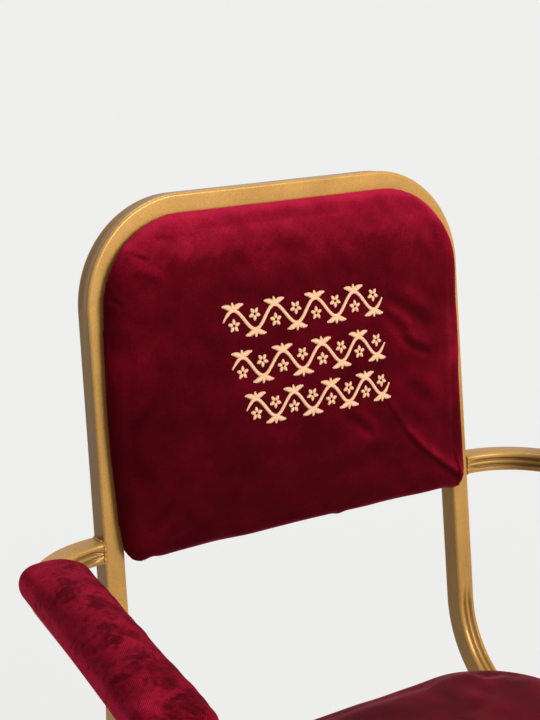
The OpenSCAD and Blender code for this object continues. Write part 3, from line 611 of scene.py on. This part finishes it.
def pad_shape(half_w, half_h, r_far, r_near, edge_t, crown, rounding, pulls):
    """A pad lying on z = 0: rings of its outline from the flat underside up its side, over a round edge and
    across a crown that rises as 1 - s squared towards the middle."""
    line = round_outline(half_w, half_h, r_far, r_near, pulls)
    half = np.array([half_w, half_h])
    q = np.linspace(0, np.pi / 2, 7)
    side = edge_t - rounding
    shrink = np.linspace(0.9, 0.12, 7)
    inset = np.concatenate([[0.003, 0.001, 0.0], rounding * (1 - np.cos(q)), np.full(7, rounding)])
    ring_size = np.concatenate([np.ones(10), shrink])
    high = np.concatenate([[0, 0.35 * side, 0.8 * side], side + rounding * np.sin(q),
                           edge_t + crown * (1 - shrink ** 2)])
    rings = line[None] * ((half - inset[:, None]) / half * ring_size[:, None])[:, None]
    points = np.concatenate([rings, np.broadcast_to(high[:, None, None], rings.shape[:2] + (1,))], -1)
    n = len(line)
    points = np.concatenate([points.reshape(-1, 3), [[0, 0, 0], [0, 0, edge_t + crown]]])
    j = np.arange(n)
    k = (j + 1) % n
    last = (len(high) - 1) * n
    faces = (grid_faces(len(high), n) + np.stack([k, j, np.full(n, len(points) - 2)], -1).tolist()
             + np.stack([last + j, last + k, np.full(n, len(points) - 1)], -1).tolist())
    return points, faces


def points_and_normals(piece):
    """All points of a piece's mesh, and the outward directions there."""
    mesh = piece.data
    places, ways = np.empty(len(mesh.vertices) * 3), np.empty(len(mesh.vertices) * 3)
    mesh.vertices.foreach_get("co", places)
    mesh.vertex_normals.foreach_get("vector", ways)
    return places.reshape(-1, 3), ways.reshape(-1, 3)


def take_result(piece):
    """Puts what the modifiers make into the piece's own mesh, and removes them."""
    made = bpy.data.meshes.new_from_object(piece.evaluated_get(bpy.context.evaluated_depsgraph_get()))
    piece.modifiers.clear()
    old, piece.data = piece.data, made
    bpy.data.meshes.remove(old)
    made.polygons.foreach_set("use_smooth", np.ones(len(made.polygons), bool))


def even_out(piece, voxel):
    """Remeshes a piece to even faces of a given size."""
    remesh = piece.modifiers.new("even", "REMESH")
    remesh.mode = "VOXEL"
    remesh.voxel_size = voxel
    take_result(piece)


def puff(piece, voxel, cap, pressure, frames=20):
    """Remeshes a pad to even faces, blows it up as cloth for some frames with its underside held on its
    board, evens it out and subdivides it once. No point moves further than the cap, or in past its foam."""
    even_out(piece, voxel)
    start, outward = points_and_normals(piece)
    held_below = 0.0055
    on_board = np.flatnonzero(start[:, 2] < held_below)
    piece.vertex_groups.new(name="board").add(on_board.tolist(), 1.0, "REPLACE")
    cloth = piece.modifiers.new("cloth", "CLOTH")
    for name, value in {"quality": 6, "mass": 0.3, "tension_stiffness": 12, "compression_stiffness": 12,
                        "shear_stiffness": 4, "bending_stiffness": 0.4, "use_pressure": True,
                        "uniform_pressure_force": pressure, "vertex_group_mass": "board"}.items():
        setattr(cloth.settings, name, value)
    cloth.settings.effector_weights.gravity = 0
    cloth.point_cache.frame_start = 1
    cloth.point_cache.frame_end = frames
    for step in range(1, frames + 1):
        scene.frame_set(step)
    take_result(piece)
    scene.frame_set(1)
    move = points_and_normals(piece)[0] - start
    move -= np.minimum((move * outward).sum(1), 0)[:, None] * outward
    far = np.linalg.norm(move, axis=1)[:, None]
    move *= np.minimum(1, cap / np.maximum(far, 1e-9))
    piece.data.vertices.foreach_set("co", (start + move).ravel())
    piece.data.update()
    piece.vertex_groups.clear()
    relax = piece.modifiers.new("relax", "SMOOTH")
    relax.factor = 0.5
    relax.iterations = 4
    smooth = piece.modifiers.new("smooth", "SUBSURF")
    smooth.levels = smooth.render_levels = 1
    take_result(piece)


def beside(points, start, end, bow):
    """Place of the pad's points by a line from start to end that is bowed sideways by a sine: the share of
    its length, and the distance to its left."""
    a, b = np.array(start), np.array(end)
    size = np.linalg.norm(b - a)
    way = (b - a) / size
    rel = points[:, :2] - a
    share = rel @ way / size
    return share, rel @ np.array([-way[1], way[0]]) - bow * np.sin(np.pi * np.clip(share, 0, 1))


def crease(points, start, end, bow, width, depth):
    """A soft wrinkle: a groove with a swell on each side, of a given width and depth, faded at both ends."""
    share, off = beside(points, start, end, bow)
    fade = ease(share, -0.1, 0.3) * (1 - ease(share, 0.7, 1.1))
    return depth * fade * (0.7 * bell(np.abs(off), 2 * width, 1.2 * width) - bell(off, 0, width))


def fold(points, start, end, bow, lap):
    """Cloth that laps over itself: a lip that rises softly from the right of the line and drops within the
    lap, and the hollow beyond it. Both run out towards the end. Gives the lip and the hollow, each 0 to 1."""
    share, off = beside(points, start, end, bow)
    fade = ease(share, -0.06, 0.04) * (1 - ease(share, 0.2, 1.3))
    lip = bell(np.minimum(off, 0), 0, 4 * lap) * (1 - ease(off, 0, lap))
    return lip * fade, bell(off, 1.6 * lap, 1.4 * lap) * fade


def swell(points, place, size):
    """A round hump about a place on the pad's plane, 1 at its middle."""
    return np.exp(-(((points[:, :2] - np.array(place)) ** 2).sum(1) / size ** 2))


def gather(points, corner, reach, count, depth, phase=0.0):
    """Pleats that fan out from a corner: a sine of the angle about it, fading with distance."""
    rel = points[:, :2] - np.array(corner)
    angle = np.arctan2(rel[:, 1], rel[:, 0])
    far = np.linalg.norm(rel, axis=1)
    return depth * np.sin(count * angle + phase) * bell(far, 0, reach) * ease(far, 0.0, 0.012)


def finish_pad(piece, points, nap_and_light, fill, *replaced):
    mesh = piece.data
    mesh.vertices.foreach_set("co", points.ravel())
    mesh.attributes.new("nap_and_light", "FLOAT", "POINT").data.foreach_set("value", nap_and_light)
    mesh.update()
    declare(piece, "velvet", *replaced)


pad_half_w, pad_half_h, pad_drop = 0.2231, 0.1736, 0.0181
lift_off = 0.0003
least_height = 0.0001
points, faces = pad_shape(pad_half_w, pad_half_h, r_far=0.0947, r_near=0.0247, edge_t=0.0200, crown=0.0160,
                          rounding=0.0150, pulls=(0.0004, -0.0046, 0.0004, 0.0008))
back_pad = add_piece("back_pad", points, faces, velvet)
puff(back_pad, voxel=0.004, cap=0.003, pressure=2.0)
shape, normals = points_and_normals(back_pad)
x, y, z = shape.T  # views, which follow what is done to the shape
front = ease(z, 0.004, 0.014)
lip, hollow = fold(shape, (0.2108, -0.1572), (0.1008, -0.0540), bow=0.0115, lap=0.0024)
tuck_lip, tuck_hollow = fold(shape, (0.2085, -0.1570), (0.2005, -0.1290), bow=0.0, lap=0.0014)
bulge = 0.0005 * cloud(shape, 3, 0.060) + 0.0003 * cloud(shape, 4, 0.024)
bulge += 0.0034 * lip - 0.0016 * hollow + 0.0016 * tuck_lip - 0.0010 * tuck_hollow
back_creases = (  # start, end, bow, width, depth
    ((0.0388, -0.0576), (0.0820, -0.0900), 0.002, 0.0045, 0.0014),
    ((0.1240, 0.0150), (0.1680, -0.0090), -0.003, 0.0040, 0.0017),
    ((0.0940, 0.0470), (0.1340, 0.0140), 0.002, 0.0050, 0.0014),
    ((0.1000, 0.0620), (0.1750, 0.0180), 0.003, 0.0070, 0.0012),
    ((0.1200, -0.0350), (0.1750, -0.0700), 0.003, 0.0080, 0.0010),
    ((0.0300, -0.1150), (0.1000, -0.1080), 0.004, 0.0100, 0.0008),
    ((-0.2050, -0.1500), (-0.1700, -0.1150), 0.003, 0.0060, 0.0004),
    ((-0.2120, -0.0400), (-0.1800, -0.0100), 0.003, 0.0060, 0.0008),
    ((-0.1960, 0.1400), (-0.1760, 0.1310), 0.001, 0.0022, 0.0009),
    ((-0.1690, 0.1520), (-0.1440, 0.1490), 0.001, 0.0026, 0.0006),
    ((-0.2190, 0.0980), (-0.2060, 0.0870), 0.001, 0.0024, 0.0009),
    ((-0.2000, 0.1180), (-0.1650, 0.1060), 0.002, 0.0050, 0.0006))
wrinkles = sum(crease(shape, *row) for row in back_creases)
bulge += (wrinkles + gather(shape, (0.2200, -0.1700), reach=0.020, count=12, depth=0.0008)
          + gather(shape, (-0.222, -0.172), reach=0.018, count=12, depth=0.0004, phase=1.0))
shape += normals * (bulge * front)[:, None]
knob = swell(shape, (0.2120, -0.1660), 0.013)
lobe = swell(shape, (-0.2100, -0.1700), 0.011)
flap = swell(shape, (0.0440, -0.1730), 0.006)
notch = swell(shape, (-0.1930, -0.1730), 0.008)
x += 0.0035 * knob
sag = ease(-y, 0.13, 0.17) * (0.0012 * ease(x, -0.12, -0.07) + 0.0014 * ease(x, 0.03, 0.10))
y -= 0.0072 * knob + 0.0024 * lobe + 0.0016 * flap - 0.0020 * notch + sag
z[:] = np.maximum(z, least_height)
# Painted light: a lighter band along the top with a cloudy edge, lighter towards the right edge and where the
# face turns up or right.
# Painted shade towards the lower left, the bottom and where the face turns down; painted highlight on the
# laps' lips, painted shade in their hollows and in the crease grooves; the clouds are the pile's own
# mottling.
top_light_height = y + 0.004 * cloud(shape, 5, 0.030) + 0.003 * cloud(shape, 6, 0.008)
nap_and_light = (0.36 + 0.030 * cloud(shape, 7, 0.045) + 0.030 * cloud(shape, 8, 0.016)
       + 0.18 * ease(top_light_height, 0.070, 0.140) + 0.17 * ease(top_light_height, 0.118, 0.150)
       + 0.22 * ease(normals[:, 1], 0.15, 0.95)
       + 0.05 * ease(x, 0.12, 0.19) + 0.14 * ease(x, 0.185, 0.214) * ease(y, -0.12, 0.0)
       + 0.22 * ease(normals[:, 0], 0.25, 0.95)
       - 0.09 * ease(-x - 1.2 * y, 0.02, 0.34) - 0.06 * ease(-y, 0.02, 0.14)
       - 0.05 * ease(-normals[:, 1], 0.3, 0.9)
       + 0.38 * lip * (0.92 + 0.08 * cloud(shape, 9, 0.006)) - 0.24 * hollow
       + 0.14 * tuck_lip - 0.30 * tuck_hollow + 125 * wrinkles)


def place_on_back(points):
    """From the pad's own plane, z forward, to the chair."""
    x, y, z = points.T
    return on_back(np.stack([x, -z - lift_off, y - pad_drop - pad_half_h], -1))


finish_pad(back_pad, place_on_back(shape), nap_and_light, 0.75, "back_pad_cover", "back_foam")


# The embroidery on the back: three bands of a plain leaf and flower scroll, satin stitched in peach thread.
# Each stem, leaf and petal is a low ridge of parallel stitches that lies on the velvet.
thread, tree, shader, place = new_material("peach thread")
stitches = bands(tree, node(tree, "UVMap", uv_map="stitch").outputs["UV"], 0.5, 0.7)
thread_tone = tones(tree, stitches, (0.0, (0.76, 0.38, 0.20)), (1.0, (0.98, 0.60, 0.35)))
fray = ranged(tree, noise(tree, place, 900.0, 3.0), 0.35, 0.65, 0.86, 1.06)
feed(tree, shader, {
    "Base Color": dimmed(tree, thread_tone, fray), "Normal": bumps(tree, stitches, 0.5, 0.0003),
    "Roughness": 0.5, "Sheen Weight": 0.2})


def satin(line, half_width, rise=0.0009, columns=7):
    """A ridge of satin stitch along a flat line: across it the height is a rounded arch, and the outline
    is the line moved sideways by the half width. Gives points (rows, columns, 3) and stitch places."""
    way = np.gradient(line, axis=0)
    way /= np.linalg.norm(way, axis=1)[:, None]
    side = np.stack([-way[:, 1], way[:, 0]], -1)
    v = np.linspace(-1, 1, columns)
    flat = line[:, None] + side[:, None] * (half_width[:, None] * v)[..., None]
    arch = rise * np.sqrt(np.clip(1 - v * v, 0, 1)) * np.minimum(1, half_width[:, None] / 0.0012)
    s = lengths(np.column_stack([line, 0 * line[:, 0]]))
    marks = np.stack(np.broadcast_arrays(s[:, None] * 1000, v * 2), -1)
    return np.concatenate([flat, arch[..., None]], -1), marks


def leaf(root, angle, size, bend, broad=0.17, rows=22):
    """A pointed leaf: its middle line turns by bend, and its half width is a skewed sine."""
    t = np.linspace(0, 1, rows)
    heading = angle + bend * t
    step = size / (rows - 1)
    line = np.array(root) + np.stack([np.cumsum(np.cos(heading)), np.cumsum(np.sin(heading))], -1) * step
    return satin(line, 0.0002 + broad * size * np.sin(np.pi * t ** 0.8) ** 1.2, columns=5)


def scroll_band(centre_x, centre_y, width, waves, swing):
    """A waved stem with two leaves and a bud at each crest and a flower of five petals in each hollow."""
    x = np.linspace(-width / 2, width / 2, 40 * waves + 1)
    pace = 2 * np.pi * waves / width
    taper = np.clip((width / 2 - np.abs(x)) / 0.006, 0.25, 1)
    parts = [satin(np.stack([centre_x + x, centre_y + swing * np.sin(pace * x)], -1), 0.0013 * taper)]
    for k in range(2 * waves):
        at = (-width / 2) + (k + 0.5) * width / (2 * waves)
        up = 1.0 if np.sin(pace * at) > 0 else -1.0
        crest = (centre_x + at, centre_y + up * swing)
        parts += [leaf(crest, up * 0.75, size=0.0130, bend=up * -0.7),
                  leaf(crest, math.pi - up * 0.75, size=0.0130, bend=up * 0.7),
                  leaf(crest, up * math.pi / 2, size=0.0075, bend=0.0, broad=0.20, rows=14)]
        middle = np.array([centre_x + at, centre_y - up * swing * 0.42])
        for petal in range(5):
            turn = up * math.pi / 2 + 2 * np.pi * petal / 5
            root = middle + 0.0012 * np.array([math.cos(turn), math.sin(turn)])
            parts.append(leaf(root, turn, size=0.0050, bend=0.0, broad=0.28, rows=10))
    return parts


def face_height(points, shape):
    """Height of the pad's front at flat points: the highest point of the pad in each 4 mm square, filled and
    smoothed, read between squares."""
    cell, cells, start = 0.004, np.array([120, 96]), np.array([-0.24, -0.19])
    at = np.clip(((shape[:, :2] - start) / cell).astype(int), 0, cells - 1)
    high = np.zeros(cells)
    np.maximum.at(high, tuple(at.T), shape[:, 2])
    least_front = 0.01
    for _ in range(3):
        near = np.stack([np.roll(high, s, k) for k in (0, 1) for s in (-1, 1)])
        high = np.where(high > least_front, high, near.max(0))
    padded = np.pad(high, 1, mode="edge")
    high = sum(padded[i:i + cells[0], j:j + cells[1]] for i in range(3) for j in range(3)) / 9
    at = np.clip((points[:, :2] - start) / cell - 0.5, 0, cells - 1.001)
    i, j = at.astype(int).T
    u, v = (at - at.astype(int)).T
    return (high[i, j] * (1 - u) * (1 - v) + high[i + 1, j] * u * (1 - v)
            + high[i, j + 1] * (1 - u) * v + high[i + 1, j + 1] * u * v)


stitched = (scroll_band(-0.003, 0.0595, width=0.202, waves=4, swing=0.0110)
            + scroll_band(0.0005, 0.0105, width=0.196, waves=4, swing=0.0110)
            + scroll_band(0.0095, -0.0345, width=0.186, waves=4, swing=0.0105))
stitch_faces, first = [], 0
for grid, marks in stitched:
    rows, columns = grid.shape[:2]
    stitch_faces += grid_faces(rows, columns, first, ring=False)
    first += rows * columns
stitch_points = np.concatenate([grid.reshape(-1, 3) for grid, marks in stitched])
stitch_marks = np.concatenate([marks.reshape(-1, 2) for grid, marks in stitched])
stitch_points[:, 2] += face_height(stitch_points, shape) + 0.0003
embroidery = add_piece("embroidery", place_on_back(stitch_points), stitch_faces, thread)
corner_of = np.empty(len(embroidery.data.loops), np.int32)
embroidery.data.loops.foreach_get("vertex_index", corner_of)
embroidery.data.uv_layers.new(name="stitch").data.foreach_set("uv", stitch_marks[corner_of].ravel())
back_of_stitch = embroidery.modifiers.new("depth", "SOLIDIFY")
back_of_stitch.thickness = 0.0009
back_of_stitch.offset = -1
declare(embroidery, "velvet")


# The rear panel: a thin board in the same velvet, pushed into the arch from behind.
# Its edge is rounded by the cloth, and its face swells by a millimetre or two.
panel_low, panel_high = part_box("back_rear_panel")
panel_half_w, panel_thick = 0.2133, 0.0062
panel_half_h = float(panel_high[2] - panel_low[2]) / 2 / math.cos(recline) - 0.0003
points, faces = pad_shape(panel_half_w, panel_half_h, r_far=0.0865, r_near=0.006, edge_t=panel_thick,
                          crown=0.0016, rounding=0.0030, pulls=(0.0, 0.0, 0.0, 0.0))
rear_panel = add_piece("rear_panel", points, faces, velvet)
even_out(rear_panel, voxel=0.0022)
shape = points_and_normals(rear_panel)[0]
x, y, z = shape.T
x *= 1 - 0.008 * y / 0.16  # 0.8% narrower 160 mm above its middle, like the arch
# painted highlight along the rounded side edges; the clouds are the pile's own mottling
nap_and_light = (0.38 + 0.05 * cloud(shape, 11, 0.05) + 0.04 * cloud(shape, 12, 0.018)
       + 0.12 * ease(np.abs(x), 0.195, 0.213))
panel_top = -tube_w - 0.0015
placed = on_back(np.stack([-x, panel_thick + z, y + panel_top - panel_half_h], -1))
finish_pad(rear_panel, placed, nap_and_light, 0.9, "back_rear_panel")


# The seat cushion: thick foam on a plywood board under the same velvet, domed in the middle.
# Its sides stay nearly upright, with a soft roll where they turn over.
seat_velvet = velvet_material("seat velvet", fuzz_tint=(0.85, 0.20, 0.26, 1))
rail_top = 0.393
seat_half_w, seat_half_d = 0.2405, 0.223
bend_end_y = back_y - 0.166437  # where the low bends end
seat_behind = 0.054  # how far the seat reaches behind there
seat_middle_y = bend_end_y + seat_behind - seat_half_d
seat_line = {"half_w": seat_half_w, "half_h": seat_half_d, "r_far": 0.103, "r_near": 0.060,
             "pulls": (0.0015,) * 4}
points, faces = pad_shape(**seat_line, edge_t=0.0535, crown=0.0090, rounding=0.019)
seat_pad = add_piece("seat_pad", points, faces, seat_velvet)
puff(seat_pad, voxel=0.005, cap=0.004, pressure=2.5)
shape, normals = points_and_normals(seat_pad)
raised = ease(shape[:, 2], 0.006, 0.020)
seat_creases = (  # start, end, bow, width, depth
    ((0.150, 0.150), (0.090, 0.110), 0.006, 0.008, 0.0005),
    ((-0.155, 0.155), (-0.095, 0.105), -0.006, 0.008, 0.0005),
    ((-0.215, -0.170), (-0.150, -0.120), 0.004, 0.007, 0.0012),
    ((0.215, -0.175), (0.140, -0.130), -0.004, 0.007, 0.0012))
wrinkles = sum(crease(shape, *row) for row in seat_creases)
bulge = 0.0003 * cloud(shape, 21, 0.085) + 0.0002 * cloud(shape, 22, 0.030) + wrinkles
for corner_place in ((0.228, -0.210), (-0.228, -0.210)):
    bulge += gather(shape, corner_place, reach=0.026, count=14, depth=0.0009)
shape += normals * (bulge * raised)[:, None]
shape[:, 2] = np.maximum(shape[:, 2], least_height)
# painted shade in the crease grooves, painted highlight on their swells and where the top rolls over into the
# sides
nap_and_light = (0.40 + 0.05 * cloud(shape, 23, 0.060) + 0.05 * cloud(shape, 24, 0.020) + 60 * wrinkles
       + 0.14 * ease(1 - normals[:, 2], 0.10, 0.6) * ease(normals[:, 2], 0.05, 0.5))
finish_pad(seat_pad, shape + (0, seat_middle_y, rail_top + lift_off), nap_and_light, 0.8, "seat_cover", "seat_foam")


# The cloth under the seat: thin black non-woven, cut with round corners and stretched over the underside
# of the seat board. It is stapled there inside the cover's edge.
black_cloth, tree, shader, place = new_material("black cloth")
fibres = noise(tree, place, 1400.0, 3.0, 0.7)
feed(tree, shader, {
    "Base Color": tones(tree, fibres, (0.0, (0.008, 0.008, 0.009)), (1.0, (0.030, 0.030, 0.032))),
    "Roughness": 0.9, "Normal": bumps(tree, fibres, 0.4, 0.0002)})
cloth_line = round_outline(**seat_line)
cloth_inset = 0.034
ring_count, ring_n = 46, len(cloth_line)
inside_hem = 1 - cloth_inset / np.array([seat_half_w, seat_half_d])
cloth_rings = cloth_line * (np.linspace(1, 0.02, ring_count)[:, None, None] * inside_hem)
cloth_low, cloth_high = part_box("seat_base_cloth")
flat_cloth = np.concatenate([cloth_rings, np.zeros(cloth_rings.shape[:2] + (1,))], -1).reshape(-1, 3)
flat_cloth[:, 1] += seat_middle_y
flat_cloth[:, 2] = cloth_low[2] + 0.0004 + 0.0002 * cloud(flat_cloth, 31, 0.03)
middle_face = list(range((ring_count - 1) * ring_n, ring_count * ring_n))[::-1]
cloth_faces = grid_faces(ring_count, ring_n) + [middle_face]
seat_cloth = add_piece("seat_cloth", flat_cloth, cloth_faces, black_cloth)
thick = seat_cloth.modifiers.new("depth", "SOLIDIFY")
thick.thickness = 0.0003
declare(seat_cloth, "black_cloth", "seat_base_cloth")


# The arm pads: long narrow pads with round ends on thin boards, screwed to the arm tubes from below.
# Their velvet shows the slanting ribs of its ground, and its pile is crushed in small dark patches.
arm_pad_half_w, arm_pad_back, arm_pad_in, arm_pad_turn = 0.0347, 0.0236, 0.0045, math.radians(1.0)
arm_pad_front = 0.025
arm_pad_half_l = (arm_len + arm_pad_back + arm_pad_front) / 2
rib_slant = math.radians(12)
worn_places = (  # x, y, size
    (0.012, 0.079, 0.013), (0.002, 0.097, 0.010), (-0.006, 0.045, 0.013), (0.004, -0.008, 0.013),
    (0.006, -0.034, 0.009), (0.022, -0.088, 0.008), (-0.003, -0.072, 0.011), (-0.005, -0.115, 0.012),
    (-0.012, -0.150, 0.014), (0.006, -0.160, 0.010), (-0.008, 0.135, 0.008))


def turned_flat(x, y, angle):
    """A turn of flat points about the origin."""
    return x * math.cos(angle) - y * math.sin(angle), x * math.sin(angle) + y * math.cos(angle)


for side, sign in (("right", 1), ("left", -1)):
    arm_velvet = velvet_material("ribbed velvet " + side, rib=190.0, rib_turn=sign * rib_slant)
    points, faces = pad_shape(arm_pad_half_w, arm_pad_half_l, r_far=0.0273, r_near=0.0273, edge_t=0.0275,
                              crown=0.0080, rounding=0.0160, pulls=(0.0, 0.001, 0.0, 0.001))
    arm_pad = add_piece("arm_pad_" + side, points, faces, arm_velvet)
    puff(arm_pad, voxel=0.003, cap=0.003, pressure=4.0)
    shape, normals = points_and_normals(arm_pad)
    x, y, z = shape.T
    outward_lean = normals[:, 0]
    raised = ease(z, 0.004, 0.012)
    bulge = 0.0002 * cloud(shape, 40 + sign, 0.040) + 0.0002 * cloud(shape, 43 + sign, 0.014)
    ragged = cloud(shape * (1, 0.6, 1), 64 + sign, 0.0030) + 0.7 * cloud(shape, 55 + sign, 0.0017)
    inward = np.clip(0.85 - x / 0.045 - 1.2 * y, 0.1, 1)
    sat_on = np.max([swell(shape * (1, 0.75, 1), (at_x, -sign * 0.75 * at_y), size)
                     for at_x, at_y, size in worn_places], axis=0)
    sat_on += 0.24 * cloud(shape, 46 + sign, 0.0060) + 0.16 * cloud(shape, 49 + sign, 0.0026)
    crushed = cloud(shape, 67 + sign, 0.0110) + 0.4 * cloud(shape, 49 + sign, 0.0035)
    patch = np.maximum(ease(sat_on, 0.10, 1.15), 0.72 * ease(crushed, -0.7, 1.9) * inward)
    patch *= 0.70 + 0.30 * ease(ragged, -0.9, 0.9)
    bulge -= 0.0003 * patch
    shape += normals * (bulge * raised)[:, None]
    z[:] = np.maximum(z, least_height)
    # painted shade in a stripe where the cloth turns over each side, most on the outer side, and a painted
    # highlight on the outer side face
    turn_shade = bell(outward_lean, 0.62, 0.16) + 0.4 * bell(outward_lean, -0.62, 0.20)
    outer = ease(outward_lean, 0.82, 0.98)
    # the crushed patches are worn pile; the nap is also a little darker towards the inner half and a little
    # lighter on the inner side face
    nap_and_light = (0.77 - 0.46 * patch - 0.07 * ease(-x, -0.010, 0.020)
           - 0.12 * turn_shade * (1 - outer) * (0.8 + 0.2 * cloud(shape, 61 + sign, 0.012)) + 0.26 * outer
           + 0.03 * cloud(shape, 52 + sign, 0.030) + 0.05 * ease(-outward_lean, 0.5, 1.0))
    way_round = x + np.sign(x) * 0.75 * (z.max() - z)
    cloth_place = np.stack([way_round, y, 0 * way_round], -1)
    ribbed = arm_pad.data.attributes.new("cloth place", "FLOAT_VECTOR", "POINT")
    ribbed.data.foreach_set("vector", cloth_place.ravel())
    x, y = turned_flat(x, y + arm_len / 2 + arm_pad_back - arm_pad_half_l, arm_pad_turn)
    x, y = turned_flat(x - arm_pad_in + arm_r, y - arm_len / 2, arm_splay)
    if sign < 0:
        arm_pad.data.flip_normals()
    finish_pad(arm_pad, np.stack([sign * (arm_x + x), arm_turn_y + y, arm_top + lift_off + z], -1), nap_and_light, 0.8,
               "arm_pad_cover_" + side, "arm_foam_" + side)
